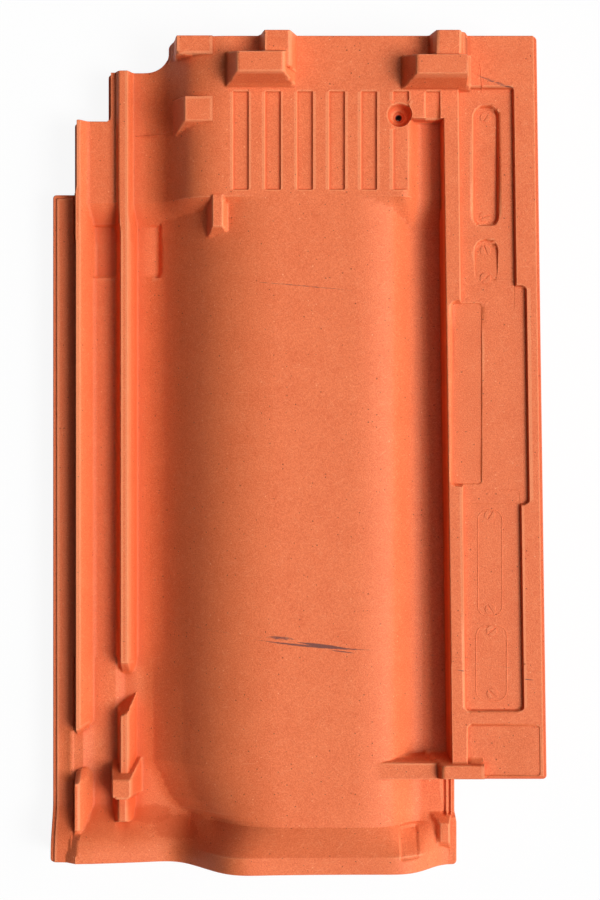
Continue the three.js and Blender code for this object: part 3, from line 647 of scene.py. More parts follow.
# The weather face under the strip: distances from the lock edge, and levels.
STRIP_SECTION = np.array([
    (-48.6, VALLEY - WALL + 0.5), (-43.6, LOCK_FLOOR), (-38, LOCK_FLOOR), (-36, LOCK_RIB),
    (-29, LOCK_RIB), (-27, LOCK_FLOOR), (-6, LOCK_FLOOR), (-3.5, LOCK_SIDE), (2, LOCK_SIDE)])
CROSS_RIBS = (40, 20)             # distances from the head of the ribs across the weather face
SET_BACK_TILT = 0.05              # the set-back deepens this much per mm across the tile


def weather(u, v, sizes):
    """Height of the weather face. It is set back at the head, it has channels and ribs under
    the water-lock strip, and two ribs across the head."""
    x, y = placed(u, v)
    share = np.clip((y - SET_BACK[0]) / SET_BACK[1], 0, 1)
    set_back = HEAD_RISE + SET_BACK_TILT * (x - from_cover(30))
    z = np.maximum(level(WEATHER, x), share * set_back)
    across = x - lock_edge(y)
    on_strip = (y > STRIP_FRONT) & (across > STRIP_SECTION[0, 0] - 1)
    z = np.where(on_strip, level(STRIP_SECTION, across), z)
    for d in CROSS_RIBS:
        foot = (from_cover(96), from_lock(90), from_head(d + 4.5), from_head(d - 4.5))
        top = (from_cover(96.5), from_lock(90.5), from_head(d + 2), from_head(d - 2))
        z = np.minimum(z, -block(x, y, foot, WALL - PLANE - 3, top, WALL - PLANE + 6))
    return z + rounding(edge_distance(u, v), sizes.edge_round * METRE)


# ---- grid of the body --------------------------------------------------------------------------
def ruled(start, end, gap, fixed, marks, closest=0.11):
    """Grid lines from start to end: one at each fixed place, one at each mark that isn't
    closer than closest to another line, and evenly spaced ones wherever a gap would be wider
    than gap."""
    lines = [start, end] + [place for place in fixed if start < place < end]
    for mark in marks:
        if start < mark < end and min(abs(mark - line) for line in lines) >= closest:
            lines.append(mark)
    lines = np.unique(lines)
    counts = np.ceil(np.diff(lines) / gap - 1e-6).astype(int)
    ends = np.concatenate([[0], np.cumsum(counts)])
    return np.interp(np.arange(ends[-1] + 1), ends, lines)


def past(places, *offsets):
    """Grid lines at these offsets from each place."""
    return [place + offset for place in np.atleast_1d(places) for offset in offsets]


RIM = (0.12, 0.36, 0.72, 1.5, 2.1, 2.7)   # lines inside an edge of the outline
OUTLINE = ([corner[0] for corner in CORNERS], [corner[1] for corner in CORNERS])
NAIL_SQUARE = [past(place, -NAIL_BLOCK, NAIL_BLOCK) for place in NAIL]
CREASE = (-0.45, 0, 0.45)
SIDE = (0.75, 0.3, -0.1, -0.5)    # outward distances of the lines across a recess's side


def rim_lines(*edges):
    """Lines close to edges of the outline, each given with the way into the tile."""
    return [edge + way * offset for edge, way in edges for offset in (0, *RIM)]


def leaning(x, y):
    """The u of a line that passes through x and y on the leaning side."""
    return x + SKEW * (y - SKEW_START)


def box_columns(boxes):
    """Lines along the long sides of recesses in the strip."""
    return [leaning(box[n], (box[2] + box[3]) / 2) + way * offset
            for box in boxes for n, way in ((0, -1), (1, 1)) for offset in SIDE]


def block_lines(n):
    """Lines along two opposite sides of the nibs and pads: 0 for the long sides, 2 for the
    ends."""
    return [line for foot, low, top, high in NIBS + PADS
            for line in (foot[n], *past(top[n:n + 2], -0.35, 0.35), foot[n + 1])]


INSERT_BOXES = [insert[0] for insert in INSERTS]
PANEL_BOXES = [panel[0] for panel in PANELS]
# The seams between the zones: the last row of one zone and the first of the next.
SEAMS = (from_front(115), from_front(116.2), from_head(111.8), from_head(110.6))


def shared_columns():
    """Lines along the tile that every zone has: its edges, the ribs, the valley wall."""
    return (rim_lines((COVER_EDGE, 1))
            + past(COVER_EDGE, 12.8, 13.3, 14.3, 14.9, 16.9, 17.5, 22.7, 23.2, 26, 33, 33.6, 40,
                   40.6, 44, 44.6, 47.6, 48.2, 49.4, 50.2)
            + past(LOCK_EDGE, -54.7, -54, -53.2, -52.6, -51.9) + rim_lines((LOCK_EDGE, -1)))


def front_zone(shared, strip):
    """Columns and rows of the nose and the front of the strip."""
    columns = rim_lines((NARROW_EDGE, -1)) + past(
        LOCK_EDGE, -56.6, -56.1, -55.6, -55.1, -54.8, -53.8, -53.3, -52.3, -43.8, -43.3, -35.2,
        -34.7, -34.2, -4.6, -4, -3.4)
    columns += past(PATCH[0], -0.2, 0.5, 1, 1.5, 2) + past(COVER_EDGE, 17.9)
    columns += past(PATCH[1], 0.2, -0.6, -1.2, -1.8, -2.6) + past(NARROW_EDGE, 0.6, 1.4)
    columns += past(COVER_EDGE, 8.3, 9.5, 32.4, 35.6, 36.6, 38.6, 45.6, 46.6, 48.5)
    rows = rim_lines((FRONT, 1), (STRIP_FRONT, 1)) + past(STRIP_FRONT, -0.15, -0.35, -0.6, -1.2)
    rows += past(
        FRONT, 6, 6.4, 9.4, 9.8, 12.5, 13, 18.8, 19.3, 22.8, 23.8, 24.4, 24.9, 28.8, 29.4, 30,
        31, 35, 36.6, 37.2, 44.8, 46, 48, 48.9, 50.8, 52.3, 53.1, 53.7, 60, 73.5, 54.3, 58.3, 59,
        60.2, 62, 71, 72, 75, 75.7, 81, 81.5, 84.4, 89.5, 90.1, 90.6, 95.2, 95.8, 96.4, 106.6,
        113.7)
    return (ruled(COVER_EDGE, LOCK_EDGE, 2.4, OUTLINE[0], shared + columns + strip[:8]),
            ruled(FRONT, SEAMS[0], 1.5, OUTLINE[1], rows))


def middle_zone(shared, strip):
    """Columns and rows of the plain middle, where only the strip has detail."""
    ends = [end for box in (*PANEL_BOXES[:2], *INSERT_BOXES[1:], WIDE_RECESS) for end in box[2:]]
    rows = past(ends, -4, -2.6, -1.6, -0.6, -0.1, 0.4, 1.2, 2.4, 4)
    rows += past(PANEL_BOXES[2][2], -0.6, -0.1, 0.4, 1.2)
    return (ruled(COVER_EDGE, LOCK_EDGE, 3.0, OUTLINE[0], shared + strip),
            ruled(SEAMS[1], SEAMS[2], 3.4, OUTLINE[1], rows))


def head_zone(shared, strip):
    """Columns and rows of the head, with its nibs, flutes, pads and notches."""
    columns = [line for left, right, *_ in flute_boxes()
               for line in past(left, -0.6, -0.2, 0.25) + past(right, -0.25, 0.2, 0.6)]
    columns += rim_lines((LIP_INNER, 1), (CHANNEL_SIDE, 1), (RIB_SIDE, 1))
    columns += past((LIP_INNER, CHANNEL_SIDE, RIB_SIDE), -1.2) + block_lines(0)
    rows = rim_lines((HEAD, -1), (COVER_END, -1), (CHANNEL_END, -1), (RIB_END, -1))
    rows += past((COVER_END, CHANNEL_END, RIB_END), 1.2)
    rows += past(HEAD_ZONE, -7, -10.6, -12.7, *CREASE) + past(FLUTE_ENDS, -0.5, -0.1, 0.3)
    rows += past(PANEL_ENDS[1], -1.2, -0.4, 0.1, 0.6) + past(VALLEY_HEAD, -2, -1.2, -0.6, 0, 0.5)
    rows += past(INSERT_BOXES[0][2:], -0.6, -0.1, 0.4, -3, 3) + block_lines(2)
    edges_u, edges_v = OUTLINE[0] + NAIL_SQUARE[0], OUTLINE[1] + NAIL_SQUARE[1]
    return (ruled(COVER_EDGE, LOCK_EDGE, 2.4, edges_u, shared + columns + strip),
            ruled(SEAMS[3], HEAD, 2.2, edges_v, rows))


def zones():
    """The three zones along the tile, front to head: their columns and rows."""
    strip = box_columns([*PANEL_BOXES, *INSERT_BOXES, WIDE_RECESS])
    return [zone(shared_columns(), strip) for zone in (front_zone, middle_zone, head_zone)]


def weather_grid():
    """Columns and rows of the weather face. It is plainer, and finer only where the set-back
    cuts the flank."""
    section = LOCK_EDGE + STRIP_SECTION[:, 0]
    columns = rim_lines((COVER_EDGE, 1), (LOCK_EDGE, -1), (NARROW_EDGE, -1))
    columns += [NARROW_EDGE + 1.2, LIP_INNER, CHANNEL_SIDE, RIB_SIDE, *section]
    columns += past(LOCK_EDGE, -53, -52) + past(section, 0.5)
    columns += past(COVER_EDGE, 95.5, 97) + past(LOCK_EDGE, -89.5, -91)
    columns += list(np.arange(FLANK_START - 6, JOIN[0] - 5, 0.8))
    rows = rim_lines((FRONT, 1), (STRIP_FRONT, 1), (HEAD, -1)) + past(STRIP_FRONT, -0.3, -1)
    rows += [COVER_END, CHANNEL_END, RIB_END, *np.linspace(0, SET_BACK[1], 26) + SET_BACK[0]]
    rows += [from_head(d + offset) for d in CROSS_RIBS
             for offset in (-4.8, -4.2, -2.2, 2.2, 4.2, 4.8)]
    return (ruled(COVER_EDGE, LOCK_EDGE, 4.5, OUTLINE[0] + NAIL_SQUARE[0], columns),
            ruled(FRONT, HEAD, 7, OUTLINE[1] + NAIL_SQUARE[1], rows))


def zipper(a, a_way, b, b_way):
    """Triangles between two rows of vertices that run side by side. Each edge of a row gets
    the vertex of the other row that lies beyond as many middles of edges."""
    a_mid, b_mid = (a_way[1:] + a_way[:-1]) / 2, (b_way[1:] + b_way[:-1]) / 2
    b_apex = b[np.searchsorted(b_mid, a_mid, side="left")]
    a_apex = a[np.searchsorted(a_mid, b_mid, side="right")]
    return np.vstack([
        np.column_stack([a[:-1], a[1:], b_apex]), np.column_stack([b[1:], b[:-1], a_apex])])


def closed(vertices, way, length):
    """A ring of vertices sorted along its way, with its first one repeated at the end."""
    order = np.argsort(way)
    ring, way = vertices[order], way[order]
    return np.append(ring, ring[0]), np.append(way, way[0] + length)


WAYS = ((1, 0), (-1, 0), (0, 1), (0, -1))   # the four ways along the grid
# a negative relief, so that the clay paints the outline and the lock ledge darker with the
# painted crease shade
LEDGE_RELIEF = -0.3               # relief of the outline and of the lock ledge
PAINTED_SHADE_REACHES = (5, 10)         # the painted shade looks this far around
STEEP_ENOUGH = 1.4                # a steeper rise gives no more painted shade
CORNER_SHARE = 0.2                # normals are taken this far from a corner to the middle
SLOPE_STEP = 0.03                 # and from heights this far apart


class Skin:
    """Vertices in u and v with their faces, gathered zone by zone. Faces are rows of four
    vertex numbers, and a triangle repeats its last one."""

    def __init__(self, height):
        self.height = height
        self.u = np.empty(0)
        self.v = np.empty(0)
        self.faces = np.empty((0, 4), int)

    def add_points(self, u, v):
        first = len(self.u)
        self.u = np.append(self.u, u)
        self.v = np.append(self.v, v)
        return first + np.arange(len(u))

    def add_faces(self, faces):
        if faces.shape[1] == 3:
            faces = np.column_stack([faces, faces[:, 2]])
        self.faces = np.vstack([self.faces, faces])

    def add_grid(self, columns, rows):
        """A grid of quads, without the cells outside the outline or round the nail hole."""
        u, v = np.meshgrid(columns, rows)
        numbers = self.add_points(u.ravel(), v.ravel()).reshape(u.shape)
        middle_u, middle_v = np.meshgrid(
            (columns[1:] + columns[:-1]) / 2, (rows[1:] + rows[:-1]) / 2)
        from_nail = np.maximum(np.abs(middle_u - NAIL[0]), np.abs(middle_v - NAIL[1]))
        kept = (edge_distance(middle_u, middle_v) > 0) & (from_nail > NAIL_BLOCK)
        near_row, far_row = numbers[:-1], numbers[1:]
        quads = np.stack([near_row[:, :-1], near_row[:, 1:], far_row[:, 1:], far_row[:, :-1]], 2)
        self.add_faces(quads[kept])
        return numbers

    def add_seam(self, lower, upper):
        """Joins the last row of one zone to the first row of the next."""
        self.add_faces(zipper(lower, self.u[lower], upper, self.u[upper]))

    def add_rings(self, numbers, radii):
        """Sets the square left free in the grid with rings round the nail hole, down to the
        smallest radius, and returns the innermost ring."""
        du, dv = self.u[numbers] - NAIL[0], self.v[numbers] - NAIL[1]
        reach = np.maximum(np.abs(du), np.abs(dv))
        on_square = np.abs(reach - NAIL_BLOCK) < TINY
        square = numbers[on_square]
        turn = 2 * np.pi
        outer, outer_way = closed(square, np.arctan2(dv[on_square], du[on_square]) % turn, turn)
        angles = np.arange(RING_SIDES) * turn / RING_SIDES
        rings = [self.add_points(NAIL[0] + r * np.cos(angles), NAIL[1] + r * np.sin(angles))
                 for r in radii]
        first, first_way = closed(rings[0], angles, turn)
        self.add_faces(zipper(outer, outer_way, first, first_way))
        for ring, inner in zip(rings[:-1], rings[1:]):
            quads = np.column_stack([ring, np.roll(ring, -1), np.roll(inner, -1), inner])
            self.add_faces(quads)
        return rings[-1]

    def rim(self):
        """The vertices on the outline, in order round it, and their way."""
        used = np.unique(self.faces)
        way = perimeter(self.u[used], self.v[used])
        on = way >= 0
        length = sum(abs(b[0] - a[0]) + abs(b[1] - a[1])
                     for a, b in zip(CORNERS, CORNERS[1:] + CORNERS[:1]))
        return closed(used[on], way[on], length)

    def points(self):
        x, y = placed(self.u, self.v)
        return np.column_stack([x, y, self.height(self.u, self.v)])

    def relief(self, reach=0.5):
        """How far each vertex stands above the mean of four places around it, over the reach:
        above nothing on edges, below it in creases, on the outline and on the lock ledge."""
        here = self.height(self.u, self.v)
        around_it = sum(self.height(self.u + du * reach, self.v + dv * reach)
                        for du, dv in WAYS)
        bend = (here - around_it / 4) / reach
        edge, side = edge_distance(self.u, self.v), side_distance(self.u, self.v)
        bend = np.where(edge > reach, np.clip(bend, -1, 1), 0)
        sunk = (edge < 0.2) | ((side < 1.4) & (self.u > NARROW_EDGE))
        return np.where(sunk, LEDGE_RELIEF, bend)

    def painted_shade(self):
        """How deep each vertex of the cover lock lies under its surroundings, as the mean of
        the rises to places around it, each over its reach. The clay is darkened by it as
        painted shade. It is nothing on the pan."""
        here, total = self.height(self.u, self.v), 0
        for reach in PAINTED_SHADE_REACHES:
            for du, dv in WAYS:
                there = self.height(self.u + du * reach, self.v + dv * reach)
                total = total + np.clip((there - here) / reach, 0, STEEP_ENOUGH)
        return np.clip(total / 4, 0, 1) * fade(self.u, FOOT + 8, -14)

    def corner_normals(self, sense):
        """Normals for each corner of each face, from the formula of the surface and not from
        its facets: the cross product of its slopes a fifth of the way to the face's middle."""
        def spot(du, dv):
            return np.stack([*placed(u + du, v + dv), self.height(u + du, v + dv)], -1)

        u, v = ((1 - CORNER_SHARE) * way + CORNER_SHARE * way.mean(1, keepdims=True)
                for way in (self.u[self.faces], self.v[self.faces]))
        here = spot(0, 0)
        normal = np.cross(spot(SLOPE_STEP, 0) - here, spot(0, SLOPE_STEP) - here) * sense
        return normal / np.linalg.norm(normal, axis=-1, keepdims=True)


def face_normals(points, faces):
    """The flat normal of each face, repeated for its four corners."""
    a, b, c, d = (points[faces[:, n]] for n in range(4))
    normal = np.cross(c - a, d - b) + np.cross(b - a, c - a)
    normal /= np.maximum(np.linalg.norm(normal, axis=1, keepdims=True), 1e-12)
    return np.repeat(normal[:, None, :], 4, axis=1)


def turned_over(faces, *corner_data):
    """Faces and their corner data with the opposite winding. A triangle still repeats its
    last vertex."""
    triangle = faces[:, 3] == faces[:, 2]
    order = np.where(triangle[:, None], (2, 1, 0, 0), (3, 2, 1, 0))
    rows = np.arange(len(faces))[:, None]
    return [data[rows, order] for data in (faces, *corner_data)]


def fresh_object(name, data):
    """Makes an object, which takes the place of an older one of that name."""
    older = bpy.data.objects.get(name)
    if older is not None:
        bpy.data.objects.remove(older)
    made = bpy.data.objects.new(name, data)
    bpy.context.scene.collection.objects.link(made)
    return made


# the second shade is painted shade, which darkens the cover lock's hollows and the nail hole's
# bore
SHADES = ("relief", "painted_shade")    # what the mesh tells the clay material about each point


def mesh_object(name, points, faces, normals, shades, material):
    """Makes an object of faces with three or four corners, with a normal for each corner and
    the shades of each point."""
    used, faces = np.unique(faces, return_inverse=True)
    faces = faces.reshape(-1, 4)
    points = points[used] / METRE
    corners = np.ones(faces.shape, bool)
    corners[:, 3] = faces[:, 3] != faces[:, 2]
    totals = corners.sum(1)
    mesh = bpy.data.meshes.new(name)
    mesh.vertices.add(len(points))
    mesh.vertices.foreach_set("co", points.ravel())
    mesh.loops.add(int(totals.sum()))
    mesh.loops.foreach_set("vertex_index", faces[corners].astype(np.int32))
    mesh.polygons.add(len(faces))
    starts = np.concatenate([[0], np.cumsum(totals)[:-1]])
    mesh.polygons.foreach_set("loop_start", starts.astype(np.int32))
    mesh.update(calc_edges=True)
    if mesh.validate():
        raise RuntimeError(f"the mesh of {name} had faults")
    mesh.shade_smooth()
    mesh.normals_split_custom_set(normals[corners])
    for shade_name, values in zip(SHADES, shades):
        layer = mesh.attributes.new(shade_name, "FLOAT", "POINT")
        layer.data.foreach_set("value", values[used].astype(np.float32))
    mesh.materials.append(material)
    return fresh_object(name, mesh)


BORE_PAINTED_SHADE = 2.0                # more than any other place has, so that the clay paints the bore black as shade
# Rings round the nail hole: their radii on the underside and on the weather face.
UPPER_RINGS = (7.6, 7.2, 6.9, 6.4, 5.9, 5.4, 4.5, 3.6, 3.3, 2.9, 2.3, NAIL_RADIUS)
LOWER_RINGS = (5, 2.6, NAIL_EXIT + 0.3, NAIL_EXIT)
RING_SIDES = 40


def tile_body(sizes):
    """Points, faces, corner normals and relief of the closed body: underside, weather face,
    outer wall and the bore of the nail hole."""
    top = Skin(lambda u, v: underside(u, v, sizes))
    row_before = None
    for columns, rows in zones():
        numbers = top.add_grid(columns, rows)
        if row_before is not None:
            top.add_seam(row_before, numbers[0])
        row_before = numbers[-1]
    top_ring = top.add_rings(numbers.ravel(), UPPER_RINGS)
    under = Skin(lambda u, v: weather(u, v, sizes))
    numbers = under.add_grid(*weather_grid())
    under_ring = under.add_rings(numbers.ravel(), LOWER_RINGS)
    offset = len(top.u)
    points = np.vstack([top.points(), under.points()])
    top_rim, top_way = top.rim()
    under_rim, under_way = under.rim()
    wall = zipper(under_rim + offset, under_way, top_rim, top_way)
    lower = under_ring + offset
    bore = np.column_stack([top_ring, np.roll(top_ring, -1), np.roll(lower, -1), lower])
    sides = np.vstack([np.column_stack([wall, wall[:, 2]]), bore])
    under_faces, under_normals = turned_over(under.faces, under.corner_normals(-1))
    faces = np.vstack([top.faces, under_faces + offset, sides])
    normals = np.vstack([top.corner_normals(1), under_normals, face_normals(points, sides)])
    relief, painted_shade = (np.concatenate([values, np.zeros(len(under.u))])
                       for values in (top.relief(), top.painted_shade()))
    # the bore gets the most painted shade, so that the clay paints it black
    painted_shade[top_ring] = painted_shade[lower] = BORE_PAINTED_SHADE
    return points, faces, normals, (relief, painted_shade)


# ---- marks of the die --------------------------------------------------------------------------
DISC_RADIUS, SLOT_HALF, DISC_SINK = 3.0, 0.42, 0.5
DISC_RIM, RIM_LEVEL = 0.06, 0.6   # share of the way across that the rim takes, and its height
ALMOST = 0.997                    # stops short of the slot's ends, so that no face is empty
LINE_GAP, LINE_SINK = 1.2, 0.4    # step along a raised line, and how deep its base is sunk
OUTLINE_HALF, FLASH_HALF = 0.32, 0.3
# Screw discs: places and the way their slots run, in degrees.
DISCS = (
    (from_lock(33.7), from_head(44.6), 60), (from_lock(33.9), from_head(100.3), 20),
    (from_lock(33.8), from_head(119.4), 110), (from_lock(34), from_head(134.9), 45),
    (from_lock(31.5), from_front(198.8), 60), (from_lock(31.2), from_front(146), 125),
    (from_lock(30.5), from_front(134.1), 40), (from_lock(30.2), from_front(98.9), 135),
)
# Outlines of the flush inserts: box and corner radius.
OUTLINES = (
    (lock_front(38.2, 24.6, 142.2, 201.6), 5.6),
    (lock_front(39.2, 22.1, 94.9, 137), 5.6),
)
# Flash lines: thin raised lines through these places.
FLASH_LINES = (
    (lock_head(38.3, 37.2, 15.4, 22), lock_head(36, 35, 24, 31)),
    (cover_head(47.5, 69, 51.4, 51.4),),
)


def outline_path(box, radius, steps=7):
    """Points round a rectangle with quarter-circle corners, counter-clockwise."""
    x0, x1, y0, y1 = box
    turn = np.linspace(0, np.pi / 2, steps)
    centres = ((x1 - radius, y0 + radius, -90), (x1 - radius, y1 - radius, 0),
               (x0 + radius, y1 - radius, 90), (x0 + radius, y0 + radius, 180))
    return np.vstack([
        np.column_stack([x + radius * np.cos(turn + np.radians(start)),
                         y + radius * np.sin(turn + np.radians(start))])
        for x, y, start in centres])


def resampled(path, gap, ring):
    """The path with its points at even steps of about gap."""
    if ring:
        path = np.vstack([path, path[:1]])
    way = np.concatenate([[0], np.cumsum(np.hypot(*np.diff(path, axis=0).T))])
    even = np.linspace(0, way[-1], int(np.ceil(way[-1] / gap)) + 1)
    if ring:
        even = even[:-1]
    return np.column_stack([np.interp(even, way, path[:, n]) for n in range(2)])


def tube(x, y, z, ring):
    """Points and faces of a tube: each row is a closed section of it. A tube that isn't a ring
    is closed by a fan at each end."""
    numbers = np.arange(x.size).reshape(x.shape)
    following = np.roll(numbers, -1, axis=0)
    ends = [] if ring else [numbers[0], numbers[-1][::-1]]
    if not ring:
        numbers, following = numbers[:-1], following[:-1]
    quads = np.stack([numbers, following, np.roll(following, -1, 1), np.roll(numbers, -1, 1)], 2)
    fans = [np.column_stack([0 * end[1:-1] + end[0], end[1:-1], end[2:], end[2:]])
            for end in ends]
    return (np.column_stack([x.ravel(), y.ravel(), z.ravel()]),
            np.vstack([quads.reshape(-1, 4), *fans]))


def bead(path, ring, half, height, seat):
    """A thin raised line along a path: at each point the section is half an ellipse across
    the path, closed by a flat base that is sunk in the seat. An open line narrows to its
    ends. Gives points and faces."""
    ahead, behind = np.roll(path, -1, axis=0), np.roll(path, 1, axis=0)
    size = np.ones(len(path))
    if not ring:
        ahead[-1], behind[0] = path[-1], path[0]
        size = np.sin(np.linspace(0.06, 0.94, len(path)) * np.pi) ** 0.5
    along = ahead - behind
    across = np.column_stack([along[:, 1], -along[:, 0]]) / np.hypot(*along.T)[:, None]
    phi = np.linspace(0, np.pi, 7)
    offset = np.concatenate([-half * np.cos(phi), [half, -half]])
    rise = np.concatenate([height * np.sin(phi), [-LINE_SINK, -LINE_SINK]])
    x = path[:, :1] + across[:, :1] * offset * size[:, None]
    y = path[:, 1:] + across[:, 1:] * offset * size[:, None]
    z = seat(path[:, 0], path[:, 1])[:, None] + rise * size[:, None]
    return tube(x, y, z, ring)


def half_disc(x0, y0, degrees, height, seat):
    """One side of a slotted disc: across the slot, from its edge to the circle. The rim is
    rounded, and a skirt and a base that is sunk in the seat close it."""
    s = np.linspace(-1, 1, 15)
    t = np.array([0, 0, 0.06, 0.2, 0.5, 0.8, 0.94, 1, 1])
    skirt = np.array([1, 0, 0, 0, 0, 0, 0, 0, 1])
    along = s * np.sqrt(DISC_RADIUS ** 2 - SLOT_HALF ** 2) * ALMOST
    reach = np.sqrt(DISC_RADIUS ** 2 - along ** 2)
    across = SLOT_HALF + (reach - SLOT_HALF)[:, None] * t
    along = along[:, None] + 0 * across
    turn = np.radians(degrees)
    x = x0 + along * np.cos(turn) - across * np.sin(turn)
    y = y0 + along * np.sin(turn) + across * np.cos(turn)
    base = seat(np.array([x0]), np.array([y0]))[0]
    edge = np.clip(np.minimum(t, 1 - t) / DISC_RIM, 0, 1)
    z = base + np.where(skirt, -DISC_SINK, height * (RIM_LEVEL + (1 - RIM_LEVEL) * edge)) + 0 * x
    return tube(x, y, z, ring=False)


def die_marks(sizes):
    """Points, faces, normals and relief of the screw discs, the outlines of the inserts and
    the flash lines."""
    def seat(x, y):
        return underside(leaning(x, y), y, sizes)

    height = sizes.mark_height * METRE
    parts = [half_disc(x, y, degrees + way, height, seat)
             for x, y, degrees in DISCS for way in (0, 180)]
    parts += [bead(resampled(outline_path(box, radius), LINE_GAP, True), True, OUTLINE_HALF,
                   height * 0.7, seat) for box, radius in OUTLINES]
    for lines in FLASH_LINES:
        path = np.array([(x, y) for x0, x1, y1, y0 in lines for x, y in ((x0, y0), (x1, y1))])
        path = resampled(path, LINE_GAP, False)
        parts.append(bead(path, False, FLASH_HALF, height * 0.8, seat))
    starts = np.cumsum([0] + [len(points) for points, _ in parts])
    points = np.vstack([points for points, _ in parts])
    faces = np.vstack([faces + start for (_, faces), start in zip(parts, starts)])
    # a small relief, which gives the marks some of the clay's paler edge tint: partly wear,
    # partly painted highlight
    shades = [np.full(len(points), 0.1), np.zeros(len(points))]
    return points, faces, face_normals(points, faces), shades


# ---- materials ---------------------------------------------------------------------------------
def reckoning(operation, flipped=False):
    """The method for an operator: it adds the operation's Math node, with the term itself as
    the first value, or the last one if flipped."""
    def method(self, *others):
        values = (*others, self) if flipped else (self, *others)
        return self.recipe.add("ShaderNodeMath", {"operation": operation},
                               dict(enumerate(values)))
    return method


class Term:
    """A socket in a node tree that can be reckoned with: each sum, difference, product,
    quotient or power of terms and numbers adds its Math node."""

    def __init__(self, recipe, socket):
        self.recipe = recipe
        self.socket = socket

    __add__ = __radd__ = reckoning("ADD")
    __mul__ = __rmul__ = reckoning("MULTIPLY")
    __sub__, __rsub__ = reckoning("SUBTRACT"), reckoning("SUBTRACT", flipped=True)
    __truediv__, __pow__, __abs__ = map(reckoning, ("DIVIDE", "POWER", "ABSOLUTE"))
    more, less = reckoning("MAXIMUM"), reckoning("MINIMUM")


class Recipe:
    """The nodes of a material or a world."""

    def __init__(self, owner):
        self.owner = owner
        owner.use_nodes = True
        self.tree = owner.node_tree
        self.tree.nodes.clear()

    def add(self, kind, settings=(), sockets=(), output=0):
        """Adds a node: its settings first, then the values or links of its sockets. Gives the
        term of one output."""
        node = self.tree.nodes.new(kind)
        for name, value in dict(settings).items():
            setattr(node, name, value)
        for name, value in dict(sockets).items():
            if isinstance(value, Term):
                self.tree.links.new(value.socket, node.inputs[name])
            else:
                node.inputs[name].default_value = value
        return Term(self, node.outputs[output] if len(node.outputs) else None)

    def split(self, kind, names, sockets=()):
        """Adds a node and gives the terms of several of its outputs."""
        node = self.add(kind, (), sockets).socket.node
        return [Term(self, node.outputs[name]) for name in names]

    def noise(self, place, scale, detail=2.0, roughness=0.5):
        """Noise around 0.5 with this many waves per millimetre."""
        return self.add("ShaderNodeTexNoise", {"noise_dimensions": "3D"}, {
            "Vector": place, "Scale": scale, "Detail": detail, "Roughness": roughness})

    def turned(self, place, degrees, lengths, shift=(0, 0, 0)):
        """Place in a frame that is turned about the upright axis, in units of these lengths."""
        return self.add("ShaderNodeMapping", {"vector_type": "TEXTURE"}, {
            "Vector": place, "Location": shift, "Rotation": (0, 0, np.radians(degrees)),
            "Scale": lengths})

    def step(self, value, low, high):
        """A soft step of value, from 0 at low to 1 at high."""
        return self.add("ShaderNodeMapRange", {"interpolation_type": "SMOOTHSTEP"}, {
            "Value": value, "From Min": low, "From Max": high})

    def tint(self, factor, ground, colour):
        """Colours mixed by a factor."""
        settings = {"data_type": "RGBA", "blend_type": "MIX"}
        return self.add("ShaderNodeMix", settings, {0: factor, 6: ground, 7: colour}, output=2)


# Marks drawn on the clay: ends of the line, half width, bow of its middle, strength.
PENCIL_LINES = (
    ((-23.5, -103.6), (43.6, -109.4), 0.75, -0.9, 0.8),
    ((0, -104.9), (30, -108.6), 0.85, -0.2, 1.05),
    ((18, -109.3), (34, -111.3), 0.4, 0, 0.75),
    ((-17, -102.2), (0, -103.6), 1.3, 0.3, 0.6),
    ((89, -120.2), (96, -121.4), 0.4, 0, 0.6),
    ((126.5, -125.6), (133, -126.1), 0.4, 0, 0.6),
    ((-29.4, 96.2), (39.2, 90.1), 0.3, 0.3, 0.5),
    ((99, 212), (125, 203), 0.9, -0.8, 0.5),
)
STAINS = (((-83, -207), (11, 5)), ((-68, -213.5), (13, 6)))   # places and half sizes
# Shades of the clay, as shares of the red, green and blue of its mean colour.
DARK, PALE = (0.76, 0.60, 0.50), (1.06, 1.42, 1.62)
# Directions in degrees, lengths, widths and depths: pale strokes, dark scores, and the streaks
# in the drawn marks. The last two are also moved.
STROKES = ((38, (7, 0.62, 3)), (-52, (5, 0.62, 3)), (4, (6, 0.62, 3)))
SCORES = (52, (6, 0.7, 3), (9, 4, 0))
STREAKS = (-4.7, (4, 0.5, 1), (3, 7, 0))
# Noises: waves per millimetre, detail and roughness.
PATCH_NOISE, GRAIN_NOISE, LINE_NOISE = (0.07, 3.0, 0.6), (1.35, 2.0, 0.8), (1.0, 1.0)
STREAK_NOISE = (1.3, 3.0, 0.65)
SPECKS_PER_MM = 0.42              # of which only some kinds show


def pencil_mask(recipe, x, y):
    """How dark the drawn marks are: near each line, thinning to its ends."""
    total = None
    for (x0, y0), (x1, y1), half, bow, strength in PENCIL_LINES:
        length = float(np.hypot(x1 - x0, y1 - y0))
        cos, sin = (x1 - x0) / length, (y1 - y0) / length
        centred = ((x - x0) * cos + (y - y0) * sin) / length * 2 - 1
        swell = (1 - centred * centred).more(0.0)
        away = abs((y - y0) * cos - (x - x0) * sin - swell * bow) / half
        mark = recipe.step(away - swell, 0.5, -0.75) * strength
        total = mark if total is None else total.more(mark)
    return total


